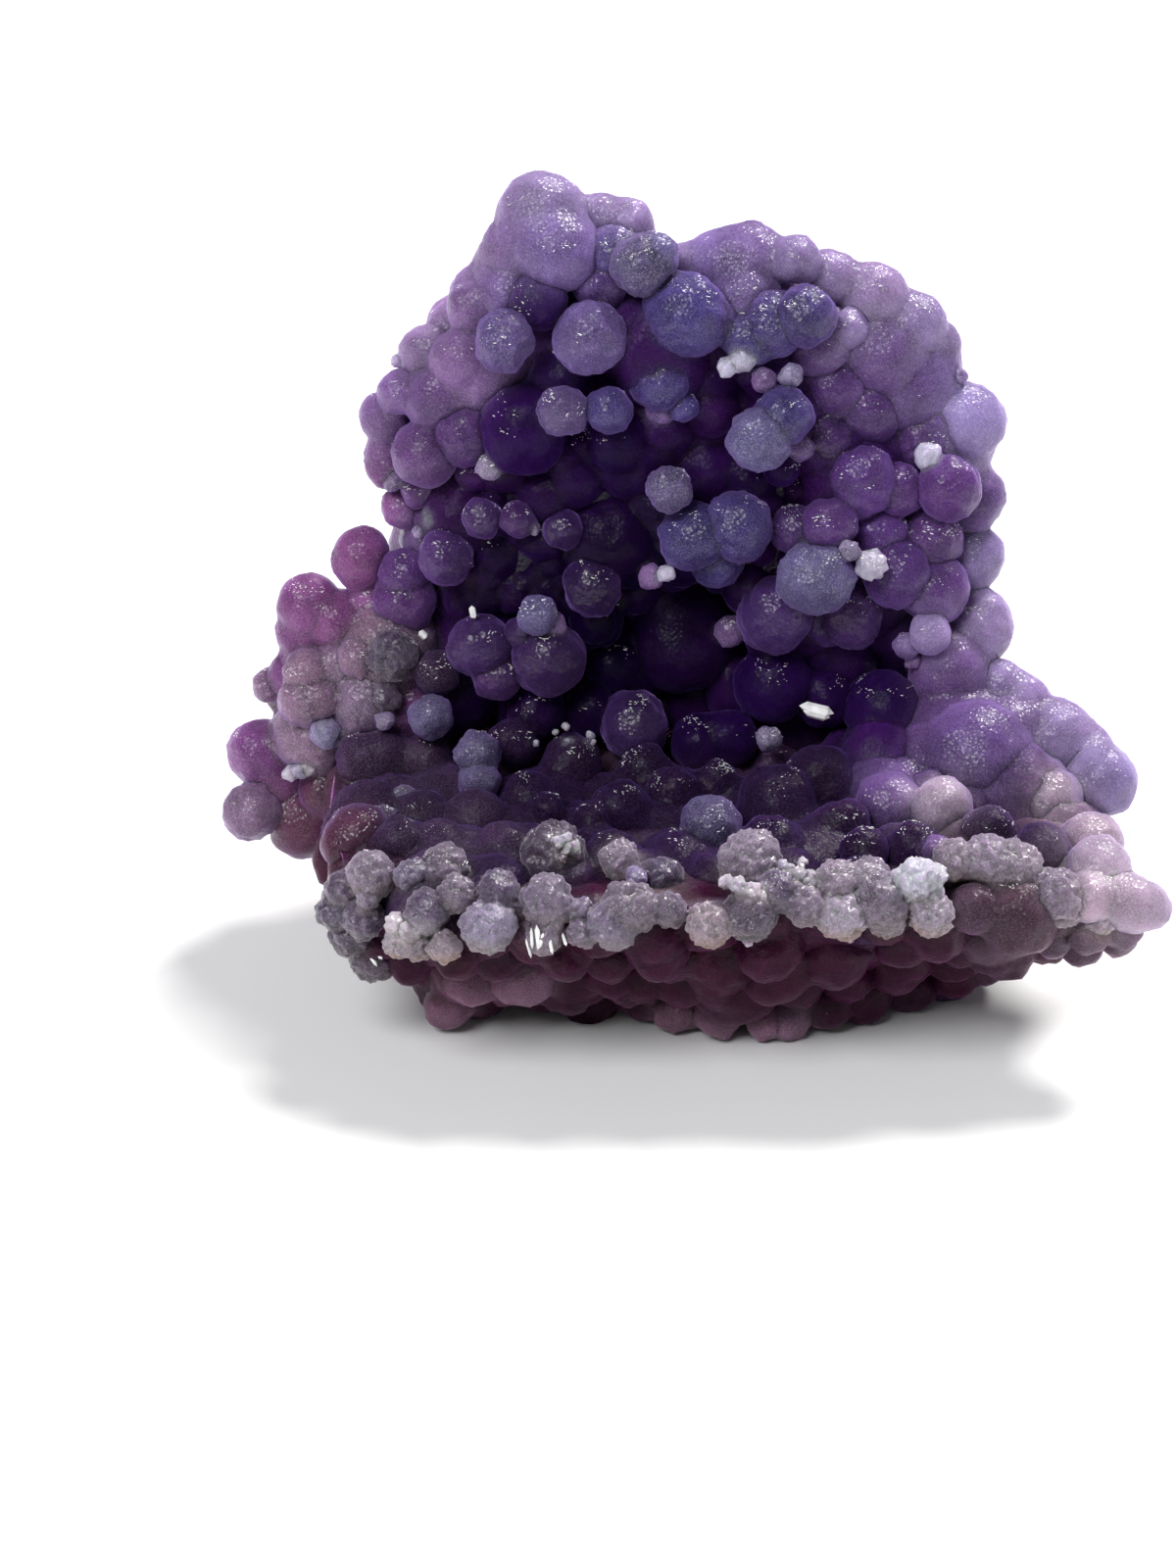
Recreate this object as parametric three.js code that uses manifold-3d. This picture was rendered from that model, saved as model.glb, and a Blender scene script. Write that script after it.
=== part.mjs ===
// A botryoidal chalcedony: one stone of grape-like lumps, with a peaked wall, a hollow at its foot,
// a ledge in front and a lobe at the left. Millimetres, +Z up. It faces -Y and stands on its cut base.
import * as THREE from "three";
import { mergeVertices } from "three/addons/utils/BufferGeometryUtils.js";
import Module from "manifold-3d";

// The lumps are written as an eye in front of the stone sees them, in the plane through MIDDLE.
const EYE_DISTANCE = 300;
const EYE_HEIGHT = THREE.MathUtils.degToRad(25);
// Where that plane's centre lies, from the middle of the foot of the stone.
const MIDDLE = new THREE.Vector3(-6.46, -2.69, 15.8);

// Lumps smaller than this are left to the finer surface.
const SMALLEST_LUMP = 1.3;
// Flat facets lie inside the ball they stand for, so each ball is made larger by this much.
const FACET_GROWTH = 1.04;
// Edges shorter than this are closed, unless a facet beside them would turn too far.
const SHORTEST_EDGE = 1.2;
// The least cosine of the angle that such a facet may turn by.
const LEAST_STEADY = 0.5;

// The lumps that fill the bodies, the ledge and the flanks. Each has a radius of radius times least
// to radius times least plus spread, and is set in by sunk times its own radius. Their numbers for
// chance start at first, and most is the room for one body's or one row's lumps.
const BODY_FILL = {
  radius: 3.3, least: 0.6, spread: 0.8, sunk: 0.35, crowding: 1.6, wander: 0.5, first: 1000, most: 300,
};
const LEDGE_FILL = {
  radius: 3.6, least: 0.75, spread: 0.5, sunk: 0.6, spacing: 5.2, wander: 0.4, first: 5000,
  left: -18, front: -14, rows: 7, columns: 11,
};
const FLANK_FILL = {
  radius: 2.7, least: 0.7, spread: 0.6, sunk: 0.5, spacing: 4.3, wander: 1, first: 7000,
  heights: [-3.2, -6.6, -10, -13.4], most: 50,
};
const GOLDEN_TURN = Math.PI * (3 - Math.sqrt(5));
// How far apart rows are when every lump touches six others, over how far apart the lumps are.
const ROW_RISE = Math.sqrt(0.75);
// The block below the ground, which the foot is cut off with.
const GROUND = { side: 200, depth: 40 };

// Each lump is [across, up, back, radius]: back is the real distance behind the plane's centre.
const LUMPS = {
  lavender: [
    [-3.5, 42.2, 11.5, 3.25], [-4.8, 39.6, 11, 2.9], [-6.4, 38.2, 11.3, 2.2], [1.0, 42.1, 12, 1.65],
    [3.0, 41.5, 11, 1.85], [7.1, 38.7, 11, 1.3], [-8.4, 36.4, 11.4, 1.85], [-10.3, 34.2, 11.8, 1.4],
    [-12.1, 32.0, 10.6, 1.95], [9.5, 38.7, 11, 2.3], [11.8, 38.8, 11, 2.9], [15.3, 38.8, 9.5, 1.85],
    [18.0, 37.5, 10.8, 2.0], [21.2, 36.2, 10.6, 2.4], [24.2, 34.2, 10.6, 2.3], [26.1, 32.6, 11, 1.5],
    [21.5, 32.0, 10.5, 3.6], [25.2, 30.2, 11, 2.6], [23.5, 29.0, 10.6, 3.4], [20.5, 28.0, 10.4, 3.5],
    [24.8, 26.0, 10.4, 3.4], [18.0, 29.5, 9.5, 3.0], [28.1, 26.9, 10, 2.8], [28.5, 21.2, 9.5, 2.45],
    [28.6, 16.9, 9, 2.3], [28.0, 24.0, 10, 1.8], [26.6, 21.9, 6, 2.4], [28.9, 11.7, 7.5, 2.7],
    [30.6, 7.5, 5, 1.6], [32.4, 6.5, 4.4, 1.6], [34.6, 3.7, 3, 2.7], [37.0, 2.8, 2.5, 1.8],
    [38.0, 0.2, 0, 2.65], [25.6, 1.7, 1.5, 3.2], [28.0, 2.4, 2.5, 3.0], [31.4, 4.0, 3.4, 2.9],
    [26.2, -1.7, -5.5, 2.3],
    [33.8, -1.3, -2.5, 2.8], [37.2, -4.6, -8, 2.6], [37.8, -6.0, -13, 2.3], [25.3, 11.2, 3.4, 1.65],
    [22.2, -1.6, -4, 2.5], [19.3, 33.7, 8, 1.4],
  ],
  violet: [
    [-2.3, 39.3, 9.1, 3.1], [-12.1, 24.4, 8, 2.5], [-11.0, 28.5, 9, 2.5], [-12.5, 21.8, 9, 1.5],
    [0.9, 36.8, 8.7, 2.0], [-6.2, 32.8, 5.5, 2.35], [0.1, 33.0, 6, 2.8], [11.5, 36.0, 8.9, 2.5],
    [-7.8, 19.6, 5.7, 1.6], [0.45, 14.6, 4.6, 2.3], [-1.9, 18.8, 5.2, 1.6], [-5.2, 19.5, 5.3, 1.45],
    [17.8, 19.2, 4.4, 2.2], [15.4, 18.8, 5.2, 1.85], [20.2, 22.4, 6.2, 2.75], [22.9, 21.8, 6.6, 2.0],
    [22.9, 15.5, 5, 2.6], [25.7, 14.3, 5.5, 2.6], [-13.5, 15.6, 8.2, 2.0], [-13.6, 13.6, 8, 2.35],
    [-10.5, 16.8, 6.2, 2.2], [-8.0, 10.2, 5, 2.4], [-6.7, 8.0, 4.6, 1.9], [-2.8, 9.3, 4.2, 2.7],
    [-5.0, 11.2, 4.6, 1.2], [3.4, 4.3, 4.8, 2.65], [13.9, 12.5, 5, 3.0], [19.3, 12.6, 6.6, 2.7],
    [17.5, 12.3, 6.8, 2.2], [26.5, 8.5, 5.5, 3.0], [-9.4, 31.4, 8.4, 2.3], [-8.6, 35.2, 9.4, 1.9],
    [-9.2, 25.8, 7.6, 2.4], [-6.0, 36.2, 9.2, 2.2], [17.4, 25.6, 8.4, 2.6], [21.6, 18.6, 6.4, 2.3],
    [25.4, 18.2, 6.8, 2.4], [17.0, 32.2, 8.6, 2.3],
  ],
  blue: [
    [2.0, 39.4, 9.5, 2.2], [7.4, 34.6, 7, 3.3], [9.0, 34.5, 7, 2.0], [16.0, 34.6, 6.2, 2.35],
    [13.6, 33.9, 7, 2.5], [12.2, 33.2, 7.2, 2.4], [1.6, 27.7, 4.7, 1.85], [7.9, 18.2, 4.7, 2.8],
    [11.1, 19.0, 4, 2.65], [14.4, 27.3, 4.7, 2.3], [7.1, 27.8, 5.9, 1.15], [5.3, 30.6, 7.6, 2.1],
    [9.6, 16.6, 5.6, 2.1],
  ],
  dark: [
    [-3.7, 35.7, 8, 2.3], [-4.9, 26.3, 6.6, 3.35], [2.2, 25.4, 7.3, 2.6], [3.3, 17.0, 7.5, 2.9],
    [-2.5, 21.6, 8.6, 2.6], [-7.5, 14.5, 8.2, 2.2], [-6.5, 17.3, 8.2, 2.2], [8.3, 25.5, 9.7, 2.5],
    [0.3, 12.1, 5.8, 1.75], [1.9, 8.7, 7.4, 2.0], [3.9, 11.6, 11.6, 2.2], [6.0, 8.2, 16.4, 1.9],
    [8.5, 3.0, 5, 2.3], [16.9, 9.7, 7.5, 1.5], [13.7, 7.3, 5.8, 2.85], [21.8, 5.5, 5, 2.9],
    [10.5, 3.4, 5, 2.1], [9.0, 9.4, 18.6, 2.4], [10.8, 6.6, 15.4, 2.1], [8.4, 13.4, 15.4, 2.4],
    [14.3, 23.2, 5.5, 1.35], [5.4, 21.0, 9.2, 2.6], [-2.0, 30.0, 8.0, 2.4], [11.8, 22.6, 8.2, 2.4],
    [17.4, 6.4, 6.2, 2.3], [11.6, 12.4, 13.4, 2.2], [0.2, 5.4, 6.2, 2.1], [-3.8, 5.4, 5.4, 2.2],
    [5.6, 5.4, 11.0, 2.0], [9.0, 29.6, 8.6, 2.4], [-9.5, 6.8, 9, 3.0],
  ],
  frosted: [
    [3.9, 38.4, 7.4, 2.4], [4.9, 39.0, 7.6, 1.85], [-1.9, 27.5, 4.3, 1.95], [6.0, 21.8, 3.8, 1.8],
    [12.7, 25.4, 3.3, 2.45], [16.9, 15.2, 2.6, 2.9], [-3.75, 12.4, 3.4, 1.6], [9.0, -3.2, -7.5, 2.4],
    [-11.6, 4.9, 3, 1.75], [-8.1, 2.3, -0.5, 1.8], [-8.0, 0.2, -2, 1.6],
  ],
  mauve: [
    [-14.0, 29.0, 9.4, 1.6], [-15.0, 27.2, 10.7, 1.95], [-15.2, 24.4, 10.4, 1.4], [-15.1, 23.3, 10.2, 1.4],
    [-16.7, 17.1, 9.8, 2.05], [-17.0, 16.3, 9.6, 1.95], [-20.6, 13.2, 9.8, 2.4], [-16.0, 13.5, 9.8, 2.0],
    [-20.8, 11.3, 10, 2.3], [-18.6, 12.0, 9, 2.2], [-23.5, 7.3, 9.5, 1.4], [-24.2, 2.3, 9, 2.55],
    [-22.0, 3.5, 8.5, 1.9], [-13.9, 20.4, 9.8, 1.5], [-24.9, -2.0, 6.5, 2.2], [-19.6, -0.6, 6.5, 1.8],
    [-20.9, -2.8, 8, 2.8],
    [-21.8, 8.0, 9.2, 1.9], [-22.8, 0.4, 8.4, 1.9],
  ],
  dusk: [
    [-20.8, 8.3, 6.6, 1.8], [-17.0, 9.3, 5.8, 1.6], [-14.5, 9.4, 5, 1.95], [-21.0, 6.1, 5.8, 1.95],
    [-19.9, 6.3, 5.4, 1.6], [-17.0, 5.2, 5, 1.5], [-15.2, 6.4, 5, 1.5], [-11.2, 8.2, 5.2, 1.9],
    [-16.3, 1.7, 4, 2.3], [-14.9, 2.2, 4, 1.9], [-12.1, 1.9, 4, 2.0], [-16.3, -2.0, -3, 2.5],
    [-16.9, -4.0, -7, 2.6], [-18.2, -4.6, -8, 1.6], [-4.5, -1.0, -2, 2.0], [-3.0, -1.9, -4.5, 1.3],
    [2.4, -1.9, -4, 2.2], [0.2, -2.6, -6, 1.4], [6.3, -0.6, -1.5, 1.9], [9.6, 0.3, 0.5, 1.5],
    [17.2, 0.2, -0.5, 2.9], [20.5, 2.2, 3, 2.0], [14.0, -1.5, -3, 3.0], [18.8, -2.9, -6.5, 2.0],
    [29.6, -3.6, -8, 2.2], [20.5, -4.8, -11, 1.8], [-2.6, -5.2, -12, 2.3], [5.4, -6.7, -14, 1.45],
    [-12.4, -2.4, -4, 2.1], [-8.4, -2.6, -5, 2.2], [-11.0, -4.6, -9.5, 1.9], [-6.4, -4.8, -10, 2.0],
    [2.0, -5.4, -11, 2.0], [13.6, -4.6, -9.5, 2.4], [24.0, -4.6, -10.5, 2.0], [33.4, -5.2, -11, 2.4],
    [-13.8, -4.2, -9, 1.9], [-1.2, 1.6, 2.4, 2.2], [-5.8, 3.0, 3.2, 2.0], [4.2, 1.2, 2, 2.0],
  ],
  rim: [
    [-15.9, -6.7, -14, 1.7], [-18.0, -7.7, -13.5, 1.3], [-13.0, -6.8, -15, 1.35], [-11.0, -6.2, -14, 1.35],
    [-9.6, -6.2, -14, 1.4], [-9.9, -8.5, -18, 1.4], [-12.4, -9.4, -17.5, 1.7], [-14.0, -10.6, -17, 1.7],
    [-16.6, -10.0, -15, 1.5], [-7.6, -10.9, -19, 1.95], [-10.7, -11.6, -18.4, 1.3], [-6.4, -7.9, -17, 1.4],
    [-3.0, -9.1, -18.5, 2.0], [-3.4, -11.6, -18.4, 1.4], [2.6, -5.5, -13, 1.5], [2.6, -9.3, -19, 2.0],
    [1.6, -10.7, -19.4, 1.5], [5.5, -9.4, -18.6, 1.4], [8.8, -10.3, -19.4, 1.75], [11.8, -6.0, -14.5, 2.2],
    [12.0, -9.5, -18.8, 1.6], [11.4, -7.8, -17, 1.5], [14.5, -8.4, -17.8, 1.6], [16.2, -9.2, -18.8, 1.35],
    [18.9, -8.4, -18, 2.2], [19.1, -9.7, -18.8, 1.6], [21.4, -8.1, -17.6, 1.9], [24.7, -8.0, -18, 2.1],
    [25.3, -9.6, -18.8, 1.5], [28.4, -6.8, -16, 2.2], [31.0, -6.6, -15.6, 2.3], [31.8, -9.8, -16.6, 3.0],
    [37.0, -8.5, -16, 1.9], [34.8, -8.6, -16, 2.2], [40.0, -8.8, -15.6, 2.0], [41.5, -9.2, -15.4, 1.65],
    [37.0, -10.6, -15.2, 2.0], [28.6, -9.4, -17.4, 2.0], [22.4, -9.8, -18.2, 1.5],
    [-18.4, -9.2, -13, 1.7], [-17.4, -11.0, -12.6, 1.6], [-15.8, -12.8, -11.4, 1.7],
    [36.4, -11.8, -13.2, 1.6], [39.2, -11.4, -13.6, 1.4],
    [39.6, -10.6, -14.6, 1.7], [41.9, -10.3, -15.0, 1.3], [34.4, -11.0, -14.6, 1.9],
  ],
  plum: [
    [5.2, -12.3, -16, 2.3], [13.5, -12.0, -16, 2.6], [-5.0, -14.0, -11.4, 2.4], [-13.2, -13.0, -12, 1.9],
    [-8.6, -14.4, -10.6, 2.2], [-10.2, -16.3, -9, 1.95], [6.5, -16.9, -9.4, 1.6], [9.7, -17.2, -10.2, 1.7],
    [13.0, -17.6, -10.5, 1.4], [14.9, -17.5, -10.2, 1.55], [20.5, -15.8, -7.6, 2.0],
    [23.7, -14.9, -5.6, 2.0], [27.2, -14.2, -6.2, 1.6], [30.6, -12.9, -8, 1.7], [33.6, -11.6, -10.4, 1.8],
    [-1.6, -15.0, -9.4, 2.2], [1.6, -14.0, -12, 2.1], [17.6, -16.4, -9, 1.9], [18.2, -12.2, -14.6, 2.1],
    [9.4, -14.4, -12.6, 2.2], [-15.6, -11.8, -12.6, 1.5], [-9.6, -12.8, -16.4, 1.8], [-1.6, -12.8, -17, 1.8],
    [23.0, -11.8, -14.6, 2.0], [27.6, -11.8, -12.4, 1.9],
  ],
};

// The bodies that carry the lumps, as [x, y, z, x radius, y radius, z radius] from the plane's centre.
const MASSES = {
  wall: [
    [-1.8, 14.5, 17.5, 11.8, 8.4, 18],
    [14.0, 15.5, 14.3, 13.4, 9.4, 17.2],
    [8, 12.5, 28, 10.5, 5.2, 8],
  ],
  lobe: [
    [-16.5, 11, 2.4, 6.6, 6, 7.4],
  ],
  shoulder: [
    [27, 4.5, -1, 8.6, 8.6, 4.6],
  ],
};
const HOLLOW = [7, 9, 7.4, 6.2, 9.2, 6.6];

const FOOT_CENTRE = new THREE.Vector2(8, 2);
// The foot of the stone as outlines in plan, from the ledge down to the cut base, each with its height.
const FOOT = [
  {
    height: -0.9,
    outline: [
      [-19, -4], [-17.5, -11], [-13, -15], [-6, -18], [3, -18.6], [11, -17.6], [19, -18.2], [28, -17],
      [36, -16], [38.5, -12], [35.5, -5], [33.5, 3], [29, 12], [18, 20], [2, 20], [-12, 16], [-19, 8],
    ],
  },
  {
    height: -4.2,
    outline: [
      [-18, -4], [-16.5, -10.5], [-12.5, -14.5], [-6, -17], [3, -17.6], [11, -16.6], [19, -16.8], [27, -15.6],
      [35, -15], [37.5, -12], [34.5, -4], [32, 4], [27, 12], [17, 20], [2, 20], [-11, 15], [-17.5, 7],
    ],
  },
  {
    height: -10.5,
    outline: [
      [-13, -3], [-12.8, -8], [-9.4, -9.8], [-4, -9.8], [3, -10.6], [9, -12], [16, -11.6], [22.5, -9],
      [27, -8], [30, -6.4], [31, -1], [28.5, 5], [23.5, 12], [14, 18], [3, 18], [-8, 13], [-12.5, 6],
    ],
  },
  {
    height: -18,
    outline: [
      [-10, -0.5], [-9.5, -2.5], [-7, -3.2], [-3, -2], [2, -2.8], [8, -6], [14, -6], [19, -3.6],
      [22.5, -0.6], [24.6, 1], [26.5, 3], [25, 7.5], [21, 12], [13, 15], [3, 15], [-6, 11], [-9.5, 5],
    ],
  },
];

const wasm = await Module();
wasm.setup();

// A closed three.js geometry as a solid.
function solidFrom(geometry) {
  const bare = geometry.clone();
  bare.deleteAttribute("normal");
  bare.deleteAttribute("uv");
  const merged = mergeVertices(bare, 1e-4);
  return new wasm.Manifold(
    new wasm.Mesh({
      numProp: 3,
      vertProperties: merged.attributes.position.array,
      triVerts: new Uint32Array(merged.index.array),
    }),
  );
}

// A faceted ball, turned by its own number so that no two show the same facets.
function ball({ centre, radius }, number) {
  const geometry = new THREE.IcosahedronGeometry(FACET_GROWTH * radius, 1);
  geometry.rotateX(number);
  geometry.rotateZ(2 * number);
  geometry.translate(centre.x, centre.y, centre.z);
  return solidFrom(geometry);
}

// An egg-shaped body with finer facets, which carries the lumps.
function body([x, y, z, acrossRadius, backRadius, upRadius]) {
  const geometry = new THREE.IcosahedronGeometry(1, 2);
  geometry.scale(acrossRadius, backRadius, upRadius);
  geometry.translate(x, y, z);
  return solidFrom(geometry);
}

// The place and real radius of a lump that the eye sees at [across, up] with its centre at back.
function placeLump([across, up, back, radius]) {
  const eye = new THREE.Vector3(0, -Math.cos(EYE_HEIGHT), Math.sin(EYE_HEIGHT)).multiplyScalar(EYE_DISTANCE);
  const seen = new THREE.Vector3(across, up * Math.sin(EYE_HEIGHT), up * Math.cos(EYE_HEIGHT));
  const reach = (back - eye.y) / (seen.y - eye.y);
  return { centre: eye.clone().lerp(seen, reach), radius: radius * reach };
}

// The foot: a closed skin over its outlines, capped above and below.
function makeFoot() {
  const positions = [];
  const index = [];
  const count = FOOT[0].outline.length;
  for (const { height, outline } of FOOT) {
    for (const [x, y] of outline) positions.push(x, y, height);
  }
  for (let level = 0; level < FOOT.length - 1; level++) {
    for (let i = 0; i < count; i++) {
      const next = (i + 1) % count;
      const above = level * count;
      const below = above + count;
      index.push(above + i, below + i, above + next);
      index.push(above + next, below + i, below + next);
    }
  }
  const bottom = (FOOT.length - 1) * count;
  for (const [start, turned] of [[0, false], [bottom, true]]) {
    const ring = FOOT[start / count].outline.map(([x, y]) => new THREE.Vector2(x, y));
    for (const [a, b, c] of THREE.ShapeUtils.triangulateShape(ring, [])) {
      if (turned) index.push(start + a, start + c, start + b);
      else index.push(start + a, start + b, start + c);
    }
  }
  const geometry = new THREE.BufferGeometry();
  geometry.setAttribute("position", new THREE.Float32BufferAttribute(positions, 3));
  geometry.setIndex(index);
  return solidFrom(geometry);
}

// A number between 0 and 1 that looks like chance and is always the same for the same number.
function chance(number) {
  const wave = 43758.5453 * Math.sin(12.9898 * number);
  return wave - Math.floor(wave);
}

// The radius that chance gives a filling lump, with most of them small.
function fillRadius(fill, number) {
  return fill.radius * (fill.least + fill.spread * chance(number) ** 1.5);
}

// Lumps of all sizes over a body, for its back and for the gaps between the named lumps.
function fillBody([x, y, z, acrossRadius, backRadius, upRadius], bodyNumber) {
  const area = acrossRadius * backRadius + backRadius * upRadius + upRadius * acrossRadius;
  const count = Math.round((BODY_FILL.crowding * area) / BODY_FILL.radius ** 2);
  const lumps = [];
  for (let i = 0; i < count; i++) {
    const number = BODY_FILL.first + 3 * (BODY_FILL.most * bodyNumber + i);
    const turn = GOLDEN_TURN * i + BODY_FILL.wander * chance(number);
    const rise = 1 - (2 * (i + chance(number + 1))) / count;
    const level = Math.sqrt(1 - rise * rise);
    const radius = fillRadius(BODY_FILL, number + 2);
    const sunk = BODY_FILL.sunk * radius;
    const centre = new THREE.Vector3(
      x + (acrossRadius - sunk) * level * Math.cos(turn),
      y + (backRadius - sunk) * level * Math.sin(turn),
      z + (upRadius - sunk) * rise,
    );
    lumps.push({ centre, radius });
  }
  return lumps;
}

// Whether a point in plan lies inside an outline.
function isInside(outline, x, y) {
  let inside = false;
  outline.forEach(([x1, y1], i) => {
    const [x2, y2] = outline[(i + 1) % outline.length];
    const crosses = y1 > y !== y2 > y;
    if (crosses && x < x1 + ((y - y1) * (x2 - x1)) / (y2 - y1)) inside = !inside;
  });
  return inside;
}

// Low lumps side by side over the top of the foot, which make the ledge.
function fillLedge() {
  const { spacing, wander, left, front, rows, columns, sunk } = LEDGE_FILL;
  const { height, outline } = FOOT[0];
  const lumps = [];
  for (let row = 0; row < rows; row++) {
    for (let column = 0; column < columns; column++) {
      const number = LEDGE_FILL.first + 3 * (columns * row + column);
      const x = left + spacing * (column + 0.5 * (row % 2) + wander * chance(number));
      const y = front + spacing * (ROW_RISE * row + wander * chance(number + 1));
      const radius = fillRadius(LEDGE_FILL, number + 2);
      const centre = new THREE.Vector3(x, y, height - sunk * radius);
      if (isInside(outline, x, y)) lumps.push({ centre, radius });
    }
  }
  return lumps;
}

// The outline of the foot at a height between two of its levels.
function outlineAt(height) {
  const below = FOOT.findIndex((level) => level.height < height);
  const [upper, lower] = [FOOT[below - 1], FOOT[below]];
  const share = (upper.height - height) / (upper.height - lower.height);
  return upper.outline.map(([x, y], i) => [
    THREE.MathUtils.lerp(x, lower.outline[i][0], share),
    THREE.MathUtils.lerp(y, lower.outline[i][1], share),
  ]);
}

// Points one spacing apart round an outline, the first one at a distance of start.
function pointsRound(outline, spacing, start) {
  const points = [];
  let ahead = start;
  outline.forEach(([x1, y1], i) => {
    const [x2, y2] = outline[(i + 1) % outline.length];
    const length = Math.hypot(x2 - x1, y2 - y1);
    for (; ahead < length; ahead += spacing) {
      points.push([x1 + ((x2 - x1) * ahead) / length, y1 + ((y2 - y1) * ahead) / length]);
    }
    ahead -= length;
  });
  return points;
}

// Lumps round the flanks of the foot, in rows one above another.
function fillFlanks() {
  const { spacing, wander, heights, sunk } = FLANK_FILL;
  const lumps = [];
  heights.forEach((height, row) => {
    const points = pointsRound(outlineAt(height), spacing, 0.5 * spacing * (row % 2));
    points.forEach(([x, y], i) => {
      const number = FLANK_FILL.first + 2 * (FLANK_FILL.most * row + i);
      const radius = fillRadius(FLANK_FILL, number);
      const inward = (sunk * radius) / Math.hypot(FOOT_CENTRE.x - x, FOOT_CENTRE.y - y);
      const centre = new THREE.Vector3(
        THREE.MathUtils.lerp(x, FOOT_CENTRE.x, inward),
        THREE.MathUtils.lerp(y, FOOT_CENTRE.y, inward),
        height + wander * (2 * chance(number + 1) - 1),
      );
      lumps.push({ centre, radius });
    });
  });
  return lumps;
}

// The largest of a solid's bodies, without crumbs and without pockets sealed inside it.
function largestBody(solid) {
  return solid.decompose().sort((a, b) => b.volume() - a.volume())[0];
}

function makeStone() {
  const masses = Object.values(MASSES).flat();
  const carriers = [makeFoot(), ...masses.map(body)];
  const fill = [...masses.flatMap(fillBody), ...fillLedge(), ...fillFlanks()];
  const named = Object.values(LUMPS)
    .flat()
    .filter((row) => row[3] >= SMALLEST_LUMP)
    .map(placeLump);
  const filled = wasm.Manifold.union([...carriers, ...fill.map(ball)]).subtract(body(HOLLOW));
  const grown = largestBody(wasm.Manifold.union([filled, ...named.map(ball)]));
  const skin = new Skin(grown.getMesh());
  skin.closeShortEdges(SHORTEST_EDGE);
  const ground = new THREE.BoxGeometry(GROUND.side, GROUND.side, GROUND.depth);
  ground.translate(0, 0, -GROUND.depth / 2 - MIDDLE.z);
  return largestBody(solidFrom(skin.geometry()).subtract(solidFrom(ground)));
}

// A skin of corners and three-cornered facets that can close its short edges and stay one closed skin.
class Skin {
  constructor({ vertProperties, triVerts }) {
    this.corners = [];
    this.facets = [];
    this.around = [];
    for (let i = 0; i < vertProperties.length; i += 3) {
      this.corners.push(new THREE.Vector3().fromArray(vertProperties, i));
      this.around.push(new Set());
    }
    for (let i = 0; i < triVerts.length; i += 3) {
      const facet = [triVerts[i], triVerts[i + 1], triVerts[i + 2]];
      facet.forEach((corner) => this.around[corner].add(this.facets.length));
      this.facets.push(facet);
    }
  }

  neighbours(corner) {
    const found = new Set();
    for (const number of this.around[corner]) this.facets[number].forEach((other) => found.add(other));
    found.delete(corner);
    return found;
  }

  facing(points) {
    const side = points[1].clone().sub(points[0]);
    return side.cross(points[2].clone().sub(points[0])).normalize();
  }

  // How far the facets round an edge stay facing the same way when both its ends move to one place.
  steadiness(first, second, place) {
    let least = 1;
    for (const number of new Set([...this.around[first], ...this.around[second]])) {
      const facet = this.facets[number];
      if (facet.includes(first) && facet.includes(second)) continue;
      const before = facet.map((corner) => this.corners[corner]);
      const moved = (corner) => corner === first || corner === second;
      const after = facet.map((corner) => (moved(corner) ? place : this.corners[corner]));
      least = Math.min(least, this.facing(before).dot(this.facing(after)));
    }
    return least;
  }

  closeEdge(first, second) {
    const others = this.neighbours(second);
    const shared = [...this.neighbours(first)].filter((corner) => others.has(corner));
    if (shared.length !== 2) return false;
    const middle = this.corners[first].clone().lerp(this.corners[second], 0.5);
    const places = [this.corners[first], this.corners[second], middle];
    const steady = places.map((place) => this.steadiness(first, second, place));
    const best = Math.max(...steady);
    if (best < LEAST_STEADY) return false;
    this.corners[first] = places[steady.indexOf(best)];
    for (const number of [...this.around[second]]) {
      const facet = this.facets[number];
      if (facet.includes(first)) {
        facet.forEach((corner) => this.around[corner].delete(number));
        this.facets[number] = null;
      } else {
        facet[facet.indexOf(second)] = first;
        this.around[first].add(number);
      }
    }
    this.around[second].clear();
    return true;
  }

  shortEdges(shortest) {
    const edges = [];
    for (const facet of this.facets) {
      if (!facet) continue;
      for (let side = 0; side < 3; side++) {
        const first = facet[side];
        const second = facet[(side + 1) % 3];
        const length = this.corners[first].distanceTo(this.corners[second]);
        if (first < second && length < shortest) edges.push({ first, second, length });
      }
    }
    return edges.sort((a, b) => a.length - b.length);
  }

  closeShortEdges(shortest) {
    let closed = 1;
    while (closed > 0) {
      closed = 0;
      for (const { first, second } of this.shortEdges(shortest)) {
        const joined = this.neighbours(first).has(second);
        if (joined && this.corners[first].distanceTo(this.corners[second]) < shortest) {
          if (this.closeEdge(first, second)) closed++;
        }
      }
    }
  }

  geometry() {
    const geometry = new THREE.BufferGeometry();
    const positions = this.corners.flatMap((corner) => corner.toArray());
    geometry.setAttribute("position", new THREE.Float32BufferAttribute(positions, 3));
    geometry.setIndex(this.facets.filter(Boolean).flat());
    return geometry;
  }
}

function makeMesh(name, solid, material) {
  const { vertProperties, triVerts } = solid.getMesh();
  const geometry = new THREE.BufferGeometry();
  geometry.setAttribute("position", new THREE.Float32BufferAttribute(vertProperties, 3));
  geometry.setIndex(new THREE.Uint32BufferAttribute(triVerts, 1));
  geometry.computeVertexNormals();
  const mesh = new THREE.Mesh(geometry, material);
  mesh.name = name;
  return mesh;
}

const violetStone = new THREE.MeshStandardMaterial({ color: 0x6a548c, roughness: 0.35, metalness: 0 });
const chalcedony = makeMesh("chalcedony", makeStone(), violetStone);
chalcedony.position.copy(MIDDLE);

const stone = new THREE.Group();
stone.add(chalcedony);

export default stone;
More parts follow.
